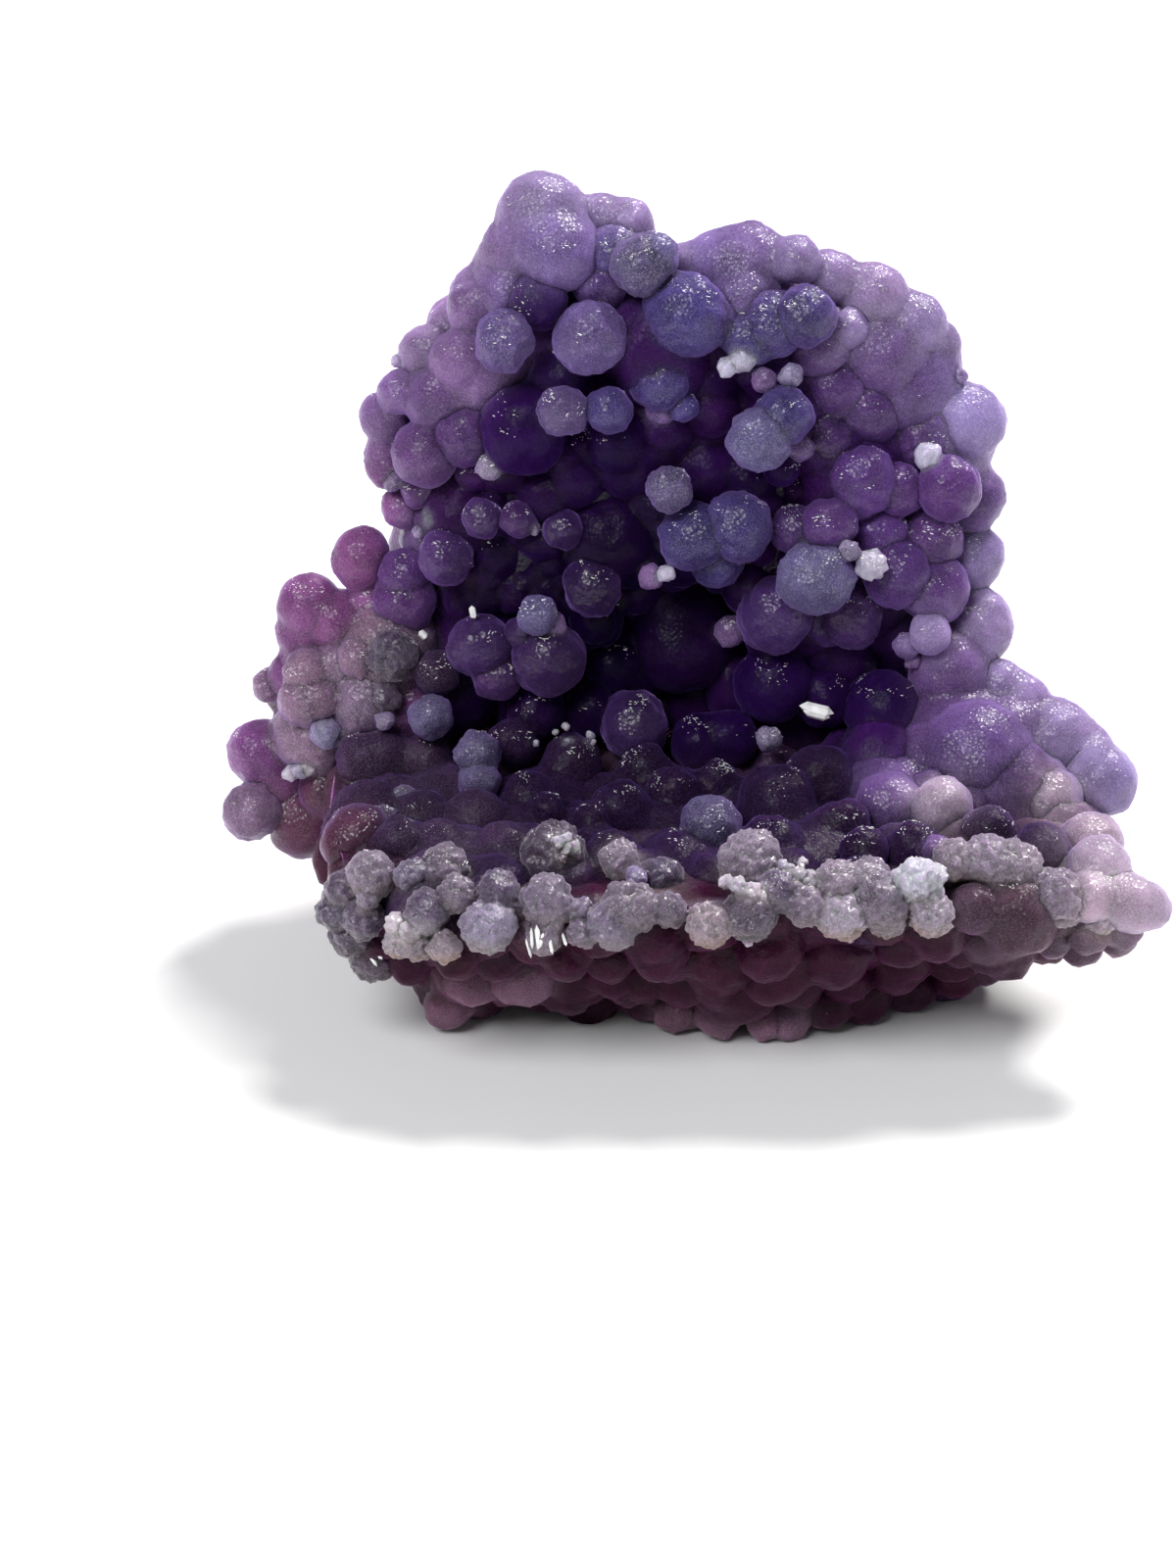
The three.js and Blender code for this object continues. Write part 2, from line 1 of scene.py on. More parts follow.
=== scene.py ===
"""A botryoidal chalcedony: its fine surface of grape-like lumps, its crusts and glints, and the studio.

Lengths here are in millimetres and everything in Blender is in metres, +Z up. The stone faces -Y and
stands on its cut base. Places of lumps count from MIDDLE.
"""

import math

import bmesh
import bpy
import numpy as np
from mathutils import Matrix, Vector, noise

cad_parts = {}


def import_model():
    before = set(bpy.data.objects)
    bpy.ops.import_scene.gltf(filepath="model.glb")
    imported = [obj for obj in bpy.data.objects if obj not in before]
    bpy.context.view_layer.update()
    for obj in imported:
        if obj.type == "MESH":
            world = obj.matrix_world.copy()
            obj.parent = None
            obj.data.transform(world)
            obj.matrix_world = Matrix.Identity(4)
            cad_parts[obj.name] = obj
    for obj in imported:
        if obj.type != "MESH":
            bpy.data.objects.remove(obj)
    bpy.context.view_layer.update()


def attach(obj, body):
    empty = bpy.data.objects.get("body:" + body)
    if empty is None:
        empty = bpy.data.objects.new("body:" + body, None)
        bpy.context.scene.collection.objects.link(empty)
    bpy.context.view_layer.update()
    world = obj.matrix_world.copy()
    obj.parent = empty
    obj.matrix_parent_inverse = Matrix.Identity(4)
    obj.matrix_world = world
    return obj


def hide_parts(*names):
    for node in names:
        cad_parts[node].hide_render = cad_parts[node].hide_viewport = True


MM = 0.001

# The lumps are written as an eye in front of the stone sees them, in the plane through MIDDLE.
EYE_DISTANCE = 300.0
EYE_HEIGHT = math.radians(25)
EYE = EYE_DISTANCE * np.array([0, -math.cos(EYE_HEIGHT), math.sin(EYE_HEIGHT)])
# Where that plane's centre lies, from the middle of the foot of the stone.
MIDDLE = np.array([-6.46, -2.69, 15.8])
# The height of the picture in the plane through MIDDLE.
PICTURE_HEIGHT = 115.94
# How wide the camera's sensor is.
SENSOR = 36
# How far the floor reaches each way.
FLOOR_REACH = 9000
# Where the lights point, in metres.
LIT_PLACE = Vector((0, 0, 0.03))
# How large the block is that cuts the stone off below, in metres.
GROUND_SIZE = 0.2
# How many facets lie along an edge of a body's icosahedron.
BODY_FINENESS = 24
# Edges that are steeper than this look sharp.
SHARP = math.radians(40)

# The lumps that fill the bodies, the ledge and the flanks. Each has a radius of radius times least to
# least plus spread, and is set in by sunk times that. Their numbers for chance start at first, with
# room for most in each body or row.
BODY_FILL = dict(
    radius=3.3, least=0.6, spread=0.8, sunk=0.35, crowding=1.6, wander=0.5, first=1000, most=300
)
LEDGE_FILL = dict(
    radius=3.6, least=0.75, spread=0.5, sunk=0.6, spacing=5.2, wander=0.4, first=5000,
    left=-18, front=-14, rows=7, columns=11,
)
FLANK_FILL = dict(
    radius=2.7, least=0.7, spread=0.6, sunk=0.5, spacing=4.3, wander=1, first=7000,
    heights=[-3.2, -6.6, -10, -13.4], most=50,
)
GOLDEN_TURN = math.pi * (3 - math.sqrt(5))
ROW_RISE = math.sqrt(0.75)

# The pieces that the lumps are in, and how many facets lie along an edge of a lump's icosahedron for
# each millimetre of its radius.
FINENESS = {
    "chalcedony_surface": 2.5, "bright_lumps": 4, "deep_lumps": 2.6, "rim_crust": 5, "plum_foot": 2.2,
}

# The lumps that the photograph shows, by their kind. Each is [across, up, back, radius]: back is the
# real distance behind the plane's centre.
LUMPS = {
    "lavender": [
        [28, 24, 10, 1.8], [-3.5, 42.2, 11.5, 3.25], [-6.4, 38.2, 11.3, 2.2], [1, 42.1, 12, 1.65],
        [3, 41.5, 11, 1.85], [3.2, 39.6, 11.3, 2], [7.1, 38.7, 11, 1.3], [-8.4, 36.4, 11.4, 1.85],
        [-10.3, 34.2, 11.8, 1.4], [-12.1, 32, 10.6, 1.95], [15.3, 38.8, 9.5, 1.85], [18, 37.5, 10.8, 2],
        [21.2, 36.2, 10.6, 2.4], [24.2, 34.2, 10.6, 2.3], [26.1, 32.6, 11, 1.5], [28.1, 26.9, 10, 2.8],
        [28.6, 16.9, 9, 2.3], [28.9, 11.7, 7.5, 2.7], [30.6, 7.5, 5, 1.6], [32.4, 6.5, 4.4, 1.6],
        [34.6, 3.7, 3, 2.7], [37, 2.8, 2.5, 1.8], [38, 0.2, 0, 2.65], [25.3, 11.2, 3.4, 1.65],
        [19.3, 33.7, 8, 1.4],
    ],
    "lilac": [
        [-13.4, 20, 9.3, 0.9], [-14, 29, 9.4, 1.6], [-15.2, 24.4, 10.4, 1.4], [-15, 27.2, 10.7, 1.95],
        [-4.8, 39.6, 11, 2.9], [-2.3, 39.3, 9.1, 3.1], [-8.6, 35.2, 9.4, 1.9], [-6, 36.2, 9.2, 2.2],
        [-9.4, 31.4, 8.4, 2.3], [9.5, 38.7, 11, 2.3], [11.8, 38.8, 11, 2.9], [11.5, 36, 8.9, 2.5],
        [25.2, 30.2, 11, 2.6],
    ],
    "orchid": [
        [-11, 28.5, 9, 2.5], [26.5, 8.5, 5.5, 3], [31.4, 4, 3.4, 2.9], [28, 2.4, 2.5, 3],
        [25.6, 1.7, 1.5, 3.2], [21.5, 32, 10.5, 3.6], [23.5, 29, 10.6, 3.4], [22.2, -1.6, -4, 2.5],
        [-12.1, 24.4, 8, 2.5], [28.5, 21.2, 9.5, 2.45], [17, 32.2, 8.6, 2.3],
    ],
    "violet": [
        [26.6, 21.9, 6, 2.4], [-12.5, 21.8, 9, 1.5], [0.9, 36.8, 8.7, 2], [-7.8, 19.6, 5.7, 1.6],
        [0.45, 14.6, 4.6, 2.3], [-1.9, 18.8, 5.2, 1.6], [-5.2, 19.5, 5.3, 1.45], [17.8, 19.2, 4.4, 2.2],
        [15.4, 18.8, 5.2, 1.85], [20.2, 22.4, 6.2, 2.75], [22.9, 21.8, 6.6, 2], [22.9, 15.5, 5, 2.6],
        [25.7, 14.3, 5.5, 2.6], [-13.5, 15.6, 8.2, 2], [-13.6, 13.6, 8, 2.35], [-10.5, 16.8, 6.2, 2.2],
        [-8, 10.2, 5, 2.4], [-6.7, 8, 4.6, 1.9], [-2.8, 9.3, 4.2, 2.7], [-5, 11.2, 4.6, 1.2],
        [3.4, 4.3, 4.8, 2.65], [13.9, 12.5, 5, 3], [19.3, 12.6, 6.6, 2.7], [17.5, 12.3, 6.8, 2.2],
        [-9.2, 25.8, 7.6, 2.4], [17.4, 25.6, 8.4, 2.6], [21.6, 18.6, 6.4, 2.3], [25.4, 18.2, 6.8, 2.4],
        [20.5, 28, 10.4, 3.5], [18, 29.5, 9.5, 3], [24.8, 26, 10.4, 3.4],
    ],
    "blue": [
        [2, 39.4, 9.5, 2.2], [7.4, 34.6, 7, 3.3], [9, 34.5, 7, 2], [16, 34.6, 6.2, 2.35],
        [13.6, 33.9, 7, 2.5], [12.2, 33.2, 7.2, 2.4], [1.6, 27.7, 4.7, 1.85], [7.9, 18.2, 4.7, 2.8],
        [11.1, 19, 4, 2.65], [14.4, 27.3, 4.7, 2.3], [7.1, 27.8, 5.9, 1.15], [5.2, 30, 6.6, 2.4],
        [9.6, 16.6, 5.6, 2.1],
    ],
    "dark": [
        [-3.7, 35.7, 8, 2.3], [-4.9, 26.3, 6.6, 3.35], [2.2, 25.4, 7.3, 2.6], [3.3, 17, 7.5, 2.9],
        [-2.5, 21.6, 8.6, 2.6], [-7.5, 14.5, 8.2, 2.2], [-6.5, 17.3, 8.2, 2.2], [8.3, 25.5, 9.7, 2.5],
        [0.3, 12.1, 5.8, 1.75], [1.9, 8.7, 7.4, 2], [3.9, 11.6, 11.6, 2.2], [6, 8.2, 16.4, 1.9],
        [8.5, 3, 5, 2.3], [16.9, 9.7, 7.5, 1.5], [13.7, 7.3, 5.8, 2.85], [21.8, 5.5, 5, 2.9],
        [10.5, 3.4, 5, 2.1], [9, 9.4, 18.6, 2.4], [10.8, 6.6, 15.4, 2.1], [8.4, 13.4, 15.4, 2.4],
        [14.3, 23.2, 5.5, 1.35], [5.4, 21, 8, 2.6], [-2, 30, 8, 2.4], [11.8, 22.6, 8.2, 2.4],
        [17.4, 6.4, 6.2, 2.3], [11.6, 12.4, 13.4, 2.2], [0.2, 5.4, 6.2, 2.1], [-3.8, 5.4, 5.4, 2.2],
        [5.6, 5.4, 11, 2], [9, 29.6, 8.6, 2.4], [-9.5, 6.8, 9, 3],
    ],
    "dove": [
        [0.1, 33, 6, 2.8], [-6.2, 32.8, 5.5, 2.35], [-1.9, 27.5, 4.3, 1.95],
    ],
    "frosted": [
        [3.9, 38.4, 7.4, 2.4], [4.9, 39, 7.6, 1.85], [6, 21.8, 3.8, 1.8], [12.7, 25.4, 3.3, 2.45],
        [16.9, 15.2, 2.6, 2.9], [-3.75, 12.4, 3.4, 1.6], [9, -3.2, -7.5, 2.4], [-11.6, 4.9, 3, 1.75],
        [-8.1, 2.3, -0.5, 1.8], [-8, 0.2, -2, 1.6],
    ],
    "mauve": [
        [-15.1, 23.3, 10.2, 1.4], [-16.7, 17.1, 9.8, 2.05], [-17, 16.3, 9.6, 1.95], [-20.6, 13.2, 9.8, 2.4],
        [-16, 13.5, 9.8, 2], [-20.8, 11.3, 10, 2.3], [-18.6, 12, 9, 2.2], [-24.2, 2.3, 9, 2.55],
        [-13.9, 20.4, 9.8, 1.5], [-21.8, 8, 9.2, 1.9], [-22.8, 0.4, 8.4, 1.9],
    ],
    "ash": [
        [-20.8, 8.3, 6.6, 1.8], [-17, 9.3, 5.8, 1.6], [-21, 6.1, 5.8, 1.95], [-19.9, 6.3, 5.4, 1.6],
        [-17, 5.2, 5, 1.5], [-23.5, 7.3, 9.5, 1.4], [-22, 3.5, 8.5, 1.9], [-24.9, -2, 6.5, 2.2],
    ],
    "maroon": [
        [-20.9, -2.8, 8, 2.8], [-19.6, -0.6, 6.5, 1.8], [-16.9, -4, -7, 2.6], [-18.2, -4.6, -8, 1.6],
    ],
    "haze": [
        [-11.2, 8.2, 5.2, 1.9], [-16.3, 1.7, 4, 2.3], [-14.9, 2.2, 4, 1.9], [-12.1, 1.9, 4, 2],
        [-16.3, -2, -3, 2.5], [-12.4, -2.4, -4, 2.1], [-8.4, -2.6, -5, 2.2], [-11, -4.6, -9.5, 1.9],
        [-13.8, -4.2, -9, 1.9], [-6.4, -4.8, -10, 2],
    ],
    "dusk": [
        [-4.5, -1, -2, 2], [-3, -1.9, -4.5, 1.3], [2.4, -1.9, -4, 2.2], [0.2, -2.6, -6, 1.4],
        [6.3, -0.6, -1.5, 1.9], [9.6, 0.3, 0.5, 1.5], [17.2, 0.2, -0.5, 2.9], [20.5, 2.2, 3, 2],
        [14, -1.5, -3, 3], [18.8, -2.9, -6.5, 2], [29.6, -3.6, -8, 2.2], [20.5, -4.8, -11, 1.8],
        [2, -5.4, -11, 2], [13.6, -4.6, -9.5, 2.4], [24, -4.6, -10.5, 2], [33.4, -5.2, -11, 2.4],
        [-1.2, 1.6, 2.4, 2.2], [-5.8, 3, 3.2, 2], [4.2, 1.2, 2, 2],
    ],
    "pearl": [
        [33.8, -1.3, -2.5, 2.8], [26.2, -1.7, -5.5, 2.3], [37.2, -4.6, -8, 2.6], [37.8, -6, -13, 2.3],
        [40, -8.8, -15.6, 2], [41.5, -9.2, -15.4, 1.65], [37, -8.5, -16, 1.9],
    ],
    "sugar": [
        [-15.9, -6.7, -14, 1.87], [2.4, -5.7, -13.2, 1.54], [18.4, -7.2, -17.2, 1.65],
        [20.9, -7.2, -17, 1.76], [12, -5.6, -14.5, 2.53], [27.2, -5.6, -15.2, 1.76],
        [29.4, -5.6, -15, 1.98], [31.4, -6.3, -15, 2.2], [-7.5, -10.7, -19, 2.09],
        [-16.3, -8.5, -15.4, 0.8],
    ],
    "ashen": [
        [-13, -6.8, -15, 1.38], [-10.5, -6.2, -14.4, 1.76], [-9.6, -8.1, -17, 1.54],
        [-3, -8.7, -18.2, 2.09], [-0.6, -9.2, -18.6, 0.95], [3.1, -9.1, -18.6, 2.15],
        [-3.2, -11.2, -18.9, 1.54], [1.8, -10.5, -19.3, 1.87], [16.1, -9.1, -18.8, 1.54],
        [21.5, -8.9, -18.4, 2.04], [6, -9.3, -18.8, 1.43], [-0.5, -11, -19.4, 1.21],
        [34.6, -8.4, -16, 2.42],
    ],
    "smoke": [
        [-6.6, -8, -17, 1.59], [-11.8, -9.5, -17.2, 1.76], [12, -9.5, -18.6, 2.04], [-2.6, -5.2, -12, 2.64],
        [-16.6, -10, -15, 1.65], [-18.4, -9.2, -13, 1.87], [-18, -7.7, -13.5, 1.43],
        [-17.4, -11, -12.6, 1.76], [-15.8, -12.8, -11.4, 1.87], [14.2, -7.9, -17.8, 1.65],
        [-14.5, 9.4, 5, 1.95], [-15.2, 6.4, 5, 1.5], [5.5, -6.9, -14, 1.54],
    ],
    "chalk": [
        [24.5, -7.2, -17.8, 2.2], [10.3, -7.2, -18.3, 0.7], [11.2, -7.6, -18.7, 0.8],
        [12.1, -7.9, -18.9, 0.75], [12.9, -8.3, -18.9, 0.5], [14.6, -6.2, -16.6, 0.7],
        [15.5, -6.7, -17.2, 0.8], [16.4, -7, -17.5, 0.7], [15.9, -5.9, -16.2, 0.5],
        [-14.4, -10.2, -17.8, 0.9], [-14.2, -11.1, -17.9, 0.8], [-13.2, -10.9, -18.2, 0.85],
        [-12.2, -10.6, -18.3, 0.6], [-2.2, -4.3, -13.9, 0.5], [-1.6, -4, -13.5, 0.55],
        [-1, -4.5, -13.7, 0.5], [-1.5, -4.9, -14.1, 0.5], [-1.9, -5.5, -14.5, 0.4],
        [-0.8, -5.1, -13.9, 0.35],
    ],
    "cream": [
        [-14, -11.8, -17.4, 1.26], [-12.7, -12, -17.9, 1.26], [-13.1, -11, -17.5, 1.43],
        [-10.6, -12, -18.6, 1.32], [8.9, -10.4, -19.3, 1.93], [18.8, -9.9, -18.9, 1.98],
        [25.4, -9.7, -18.9, 1.87], [22.2, -10.3, -18.3, 1.32], [37.6, -9.6, -15.6, 1.76],
    ],
    "murk": [
        [31.8, -9.8, -16.6, 3], [34.4, -11, -14.6, 1.9], [36.4, -11.8, -13.2, 1.6], [37, -10.6, -15.2, 2],
        [39.2, -11.4, -13.6, 1.4], [39.6, -10.6, -14.6, 1.7], [28.6, -9.4, -17.4, 2],
    ],
    "dusty": [
        [6.5, -16.9, -9.4, 1.6], [9.7, -17.2, -10.2, 1.7], [-10.2, -16.3, -9, 1.95],
        [13, -17.6, -10.5, 1.4], [14.9, -17.5, -10.2, 1.55], [-8.6, -14.4, -10.6, 2.2],
        [-5, -14, -11.4, 2.4],
    ],
    "plum": [
        [5.2, -12.3, -16, 2.3], [13.5, -12, -16, 2.6], [-13.2, -13, -12, 1.9], [20.5, -15.8, -7.6, 2],
        [23.7, -14.9, -5.6, 2], [27.2, -14.2, -6.2, 1.6], [30.6, -12.9, -8, 1.7], [33.6, -11.6, -10.4, 1.8],
        [-1.6, -15, -9.4, 2.2], [1.6, -14, -12, 2.1], [17.6, -16.4, -9, 1.9], [18.2, -12.2, -14.6, 2.1],
        [9.4, -14.4, -12.6, 2.2], [-15.6, -11.8, -12.6, 1.5], [-9.6, -12.8, -16.4, 1.8],
        [-1.6, -12.8, -17, 1.8], [23, -11.8, -14.6, 2], [27.6, -11.8, -12.4, 1.9],
    ],
    "pale": [
        [-13.9, 31.3, 10.5, 0.6], [11.4, 31.4, 5.6, 1], [5.8, 15.5, 3.4, 0.7], [21, 16.2, 2.3, 1.2],
        [25.2, 24.2, 6.4, 1.1], [-11.5, 19.7, 7.6, 0.75], [-22, 0.8, 5.3, 0.65], [-21.4, 1, 5.3, 0.66],
        [-20.7, 1.2, 5.3, 0.65], [-1.6, 4.2, 2.2, 0.3], [-1.5, 3.2, 1.8, 0.25], [0.1, 3.6, 2.2, 0.35],
        [0.4, 3.1, 1.8, 0.25], [-3.8, 3, 1.8, 0.3], [-2.4, 3.8, 2.4, 0.25], [1.9, -6.5, -14.2, 0.35],
        [1.7, -13.9, -11.4, 0.35], [11.8, -11.7, -18.2, 0.4], [-15.6, -12.9, -12.6, 0.4],
        [10.4, 30.8, 5.4, 0.85],
    ],
    "grey": [
        [-14.3, 22.4, 9, 0.85], [-7.3, 23.4, 5.5, 1.05], [27.6, 30.2, 9.5, 0.6], [-3.9, 18.9, 4.8, 0.55],
        [15, 30.2, 5.5, 0.95], [19.3, 17.3, 2.3, 0.85], [-12.4, 18.6, 7.6, 0.6], [-15, 4.7, 3.2, 0.8],
        [-19.4, 3.8, 4.4, 1.2], [-15.2, -2.6, -5.5, 1.1], [-13.6, -1.1, -3, 1.1], [3.6, -6.9, -15.4, 0.9],
        [13.3, 3.3, 3, 1],
    ],
    "pink": [
        [4.7, 15.3, 4.2, 1], [-2.5, 11.8, 3.8, 1], [13, 29.9, 5.5, 1], [15.6, 24.9, 5.7, 1.1],
        [10.5, 11.3, 6.6, 1.2], [23.6, 10.2, 4, 1.1], [24, 9.1, 4, 0.6], [25.8, -4.9, -12, 1.2],
        [5.4, 27.6, 6.8, 1.2],
    ],
}


# The bodies that carry the lumps, as [x, y, z, x radius, y radius, z radius]: three for the wall, then
# the lobe and the shoulder.
MASSES = [
    [-1.8, 14.5, 17.5, 11.8, 8.4, 18],
    [14, 15.5, 14.3, 13.4, 9.4, 17.2],
    [8, 12.5, 28, 10.5, 5.2, 8],
    [-16.5, 11, 2.4, 6.6, 6, 7.4],
    [27, 4.5, -1, 8.6, 8.6, 4.6],
]
# The hollow at the wall's foot, written the same way.
HOLLOW = [7, 9, 7.4, 6.2, 9.2, 6.6]

FOOT_CENTRE = (8, 2)
FOOT_TOP = -0.9
# The foot of the stone as outlines in plan, from the ledge down to the cut base, each by its height.
FOOT = {
    FOOT_TOP: [
        [-19, -4], [-17.5, -11], [-13, -15], [-6, -18], [3, -18.6], [11, -17.6], [19, -18.2], [28, -17],
        [36, -16], [38.5, -12], [35.5, -5], [33.5, 3], [29, 12], [18, 20], [2, 20], [-12, 16], [-19, 8],
    ],
    -4.2: [
        [-18, -4], [-16.5, -10.5], [-12.5, -14.5], [-6, -17], [3, -17.6], [11, -16.6], [19, -16.8],
        [27, -15.6], [35, -15], [37.5, -12], [34.5, -4], [32, 4], [27, 12], [17, 20], [2, 20], [-11, 15],
        [-17.5, 7],
    ],
    -10.5: [
        [-13, -3], [-12.8, -8], [-9.4, -9.8], [-4, -9.8], [3, -10.6], [9, -12], [16, -11.6], [22.5, -9],
        [27, -8], [30, -6.4], [31, -1], [28.5, 5], [23.5, 12], [14, 18], [3, 18], [-8, 13], [-12.5, 6],
    ],
    -18: [
        [-10, -0.5], [-9.5, -2.5], [-7, -3.2], [-3, -2], [2, -2.8], [8, -6], [14, -6], [19, -3.6],
        [22.5, -0.6], [24.6, 1], [26.5, 3], [25, 7.5], [21, 12], [13, 15], [3, 15], [-6, 11], [-9.5, 5],
    ],
}


def chance(number):
    """A number from 0 to 1 that looks like chance, the same each time for the same number."""
    wave = 43758.5453 * math.sin(12.9898 * number)
    return wave - math.floor(wave)


def place_lump(row):
    """The place and real radius of a lump from how the eye sees it and how far back it lies."""
    across, up, back, radius = row
    seen = np.array([across, up * math.sin(EYE_HEIGHT), up * math.cos(EYE_HEIGHT)])
    reach = (back - EYE[1]) / (seen[1] - EYE[1])
    return EYE + reach * (seen - EYE), radius * reach


def fill_radius(fill, number):
    """The radius that chance gives a filling lump, with most of them small."""
    return fill["radius"] * (fill["least"] + fill["spread"] * chance(number) ** 1.5)


def way_round(turn, rise):
    """The way out from a body's middle at a turn about its axis and a rise of -1 to 1."""
    level = math.sqrt(1 - rise * rise)
    return np.array([level * math.cos(turn), level * math.sin(turn), rise])


def fill_body(mass, body_number):
    """Lumps of all sizes over a body, for its back and between the named lumps."""
    centre, radii = np.array(mass[:3]), np.array(mass[3:])
    area = radii[0] * radii[1] + radii[1] * radii[2] + radii[2] * radii[0]
    count = math.floor(BODY_FILL["crowding"] * area / BODY_FILL["radius"] ** 2 + 0.5)
    lumps = []
    for i in range(count):
        number = BODY_FILL["first"] + 3 * (BODY_FILL["most"] * body_number + i)
        turn = GOLDEN_TURN * i + BODY_FILL["wander"] * chance(number)
        rise = 1 - 2 * (i + chance(number + 1)) / count
        radius = fill_radius(BODY_FILL, number + 2)
        lumps.append((centre + (radii - BODY_FILL["sunk"] * radius) * way_round(turn, rise), radius))
    return lumps


def is_inside(outline, x, y):
    """Whether a point in plan lies inside an outline."""
    inside = False
    for (x1, y1), (x2, y2) in zip(outline, outline[1:] + outline[:1]):
        if (y1 > y) != (y2 > y) and x < x1 + (y - y1) * (x2 - x1) / (y2 - y1):
            inside = not inside
    return inside


def fill_ledge():
    """Low lumps side by side over the top of the foot, which make the ledge."""
    fill = LEDGE_FILL
    lumps = []
    for row in range(fill["rows"]):
        for column in range(fill["columns"]):
            number = fill["first"] + 3 * (fill["columns"] * row + column)
            along = column + 0.5 * (row % 2) + fill["wander"] * chance(number)
            x = fill["left"] + fill["spacing"] * along
            y = fill["front"] + fill["spacing"] * (ROW_RISE * row + fill["wander"] * chance(number + 1))
            radius = fill_radius(fill, number + 2)
            if is_inside(FOOT[FOOT_TOP], x, y):
                lumps.append((np.array([x, y, FOOT_TOP - fill["sunk"] * radius]), radius))
    return lumps


def outline_at(height):
    """The outline of the foot at a height between two of its levels."""
    levels = list(FOOT)
    below = next(i for i, level in enumerate(levels) if level < height)
    upper, lower = levels[below - 1], levels[below]
    share = (upper - height) / (upper - lower)
    return (1 - share) * np.array(FOOT[upper], float) + share * np.array(FOOT[lower], float)


def points_round(outline, spacing, start):
    """Points one spacing apart round an outline, the first one at a distance of start."""
    points = []
    ahead = start
    for here, there in zip(outline, np.roll(outline, -1, axis=0)):
        length = math.dist(here, there)
        while ahead < length:
            points.append(here + (there - here) * ahead / length)
            ahead += spacing
        ahead -= length
    return points


def fill_flanks():
    """Lumps round the flanks of the foot, in rows one above another."""
    fill = FLANK_FILL
    lumps = []
    for row, height in enumerate(fill["heights"]):
        points = points_round(outline_at(height), fill["spacing"], 0.5 * fill["spacing"] * (row % 2))
        for i, point in enumerate(points):
            number = fill["first"] + 2 * (fill["most"] * row + i)
            radius = fill_radius(fill, number)
            way = np.array(FOOT_CENTRE) - point
            x, y = point + way * fill["sunk"] * radius / np.linalg.norm(way)
            rise = fill["wander"] * (2 * chance(number + 1) - 1)
            lumps.append((np.array([x, y, height + rise]), radius))
    return lumps


def linear(colour):
    """The linear red, green and blue of a colour written as six hexadecimal digits."""
    parts = [int(colour[i:i + 2], 16) / 255 for i in (0, 2, 4)]
    return [part / 12.92 if part <= 0.04045 else ((part + 0.055) / 1.055) ** 2.4 for part in parts]


# What a lump is like where its kind doesn't say otherwise: its piece, how uneven it is, how many flats
# it has and how far in those may lie, how far in millimetres it runs into its neighbours and how far
# its colour does, how large its crystals are and how far they stand out, and whether it takes the painted
# shade near the hollow and the redder tint on the left.
PLAIN = dict(
    piece="chalcedony_surface", uneven=0.04, flats=0, least=0.9, fused=0.2, blends=0.3, crystal=1.4,
    serrated=0.07, gloomy=True,
)


def looks(colour, druse, below=None, **others):
    """What a kind of lump is like: its colour, how much pale druse covers it and its colour below."""
    return dict(PLAIN, colour=linear(colour), druse=druse, below=linear(below or colour), **others)


GRAPES = dict(piece="bright_lumps", uneven=0.06, fused=0.06, blends=0.1, crystal=1.0, serrated=0.1)
CRISP = dict(**GRAPES, gloomy=False)
DEEP = dict(piece="deep_lumps", uneven=0.06, fused=0.12, blends=0.2, crystal=1.1, serrated=0.1)
LEDGE = dict(piece="deep_lumps", uneven=0.07, fused=0.3, blends=0.5, crystal=1.0, serrated=0.1)
FLANKS = dict(piece="plum_foot", uneven=0.1, fused=0.2, blends=0.35, crystal=1.2, serrated=0.12)
RIM = dict(
    piece="rim_crust", uneven=0.08, fused=0.15, blends=0.25, crystal=0.6, serrated=0.18, gloomy=False
)
# Every kind of lump by its name.
KINDS = {
    "lavender": looks("7E6D94", 0.35, fused=0.42, blends=0.7),
    "lilac": looks("695283", 0.3, fused=0.32, blends=0.55),
    "orchid": looks("54386B", 0.25, fused=0.22, blends=0.4),
    "violet": looks("472861", 0.15, **GRAPES),
    # Shade and dark, in and round the hollow and on the wall's front, are partly the stone's own deep
    # violet and partly painted shade.
    "shade": looks("2E0B48", 0.05, **DEEP),
    "blue": looks("362C5F", 0.25, **CRISP),
    "dark": looks("1F053A", 0.02, **DEEP),
    "dove": looks("4E3E69", 0.35, flats=9, **CRISP),
    "frosted": looks("494365", 0.5, flats=9, **CRISP),
    "mauve": looks("693E73", 0.25),
    "ash": looks("6A5A72", 0.6, fused=0.1, blends=0.15, crystal=0.8, serrated=0.12),
    "maroon": looks("502742", 0.15, fused=0.3),
    # Dusk and haze, the ledge below the wall, are dark partly as painted shade of the wall.
    "dusk": looks("1D0929", 0.15, gloomy=False, **LEDGE),
    "haze": looks("2E1B35", 0.3, gloomy=False, **LEDGE),
    "pearl": looks("918292", 0.5, fused=0.5, blends=0.8),
    "sugar": looks("726878", 0.7, below="726762", **RIM),
    "ashen": looks("5A5060", 0.6, below="5A4E50", **RIM),
    "smoke": looks("42354A", 0.5, below="3A3534", **RIM),
    "chalk": looks("A9A5AA", 1.0, flats=12, least=0.7, below="827870", **RIM),
    "cream": looks("7A7078", 0.8, flats=8, least=0.8, below="746150", **RIM),
    "murk": looks("3D2A37", 0.25, **FLANKS),
    "dusty": looks("6C505F", 0.3, **FLANKS),
    # Plum, the foot's front under the rim, is the stone's own plum darkened further by painted shade.
    "plum": looks("2C061D", 0.05, **FLANKS),
    "wine": looks("452D4C", 0.15, **FLANKS),
    "pale": looks("A19DA8", 1.0, flats=9, **CRISP),
    "grey": looks("6F687E", 0.8, flats=7, **CRISP),
    "pink": looks("644B76", 0.4, flats=4, **CRISP),
}
# The balls that were made already, by how fine they are.
GEODESICS = {}


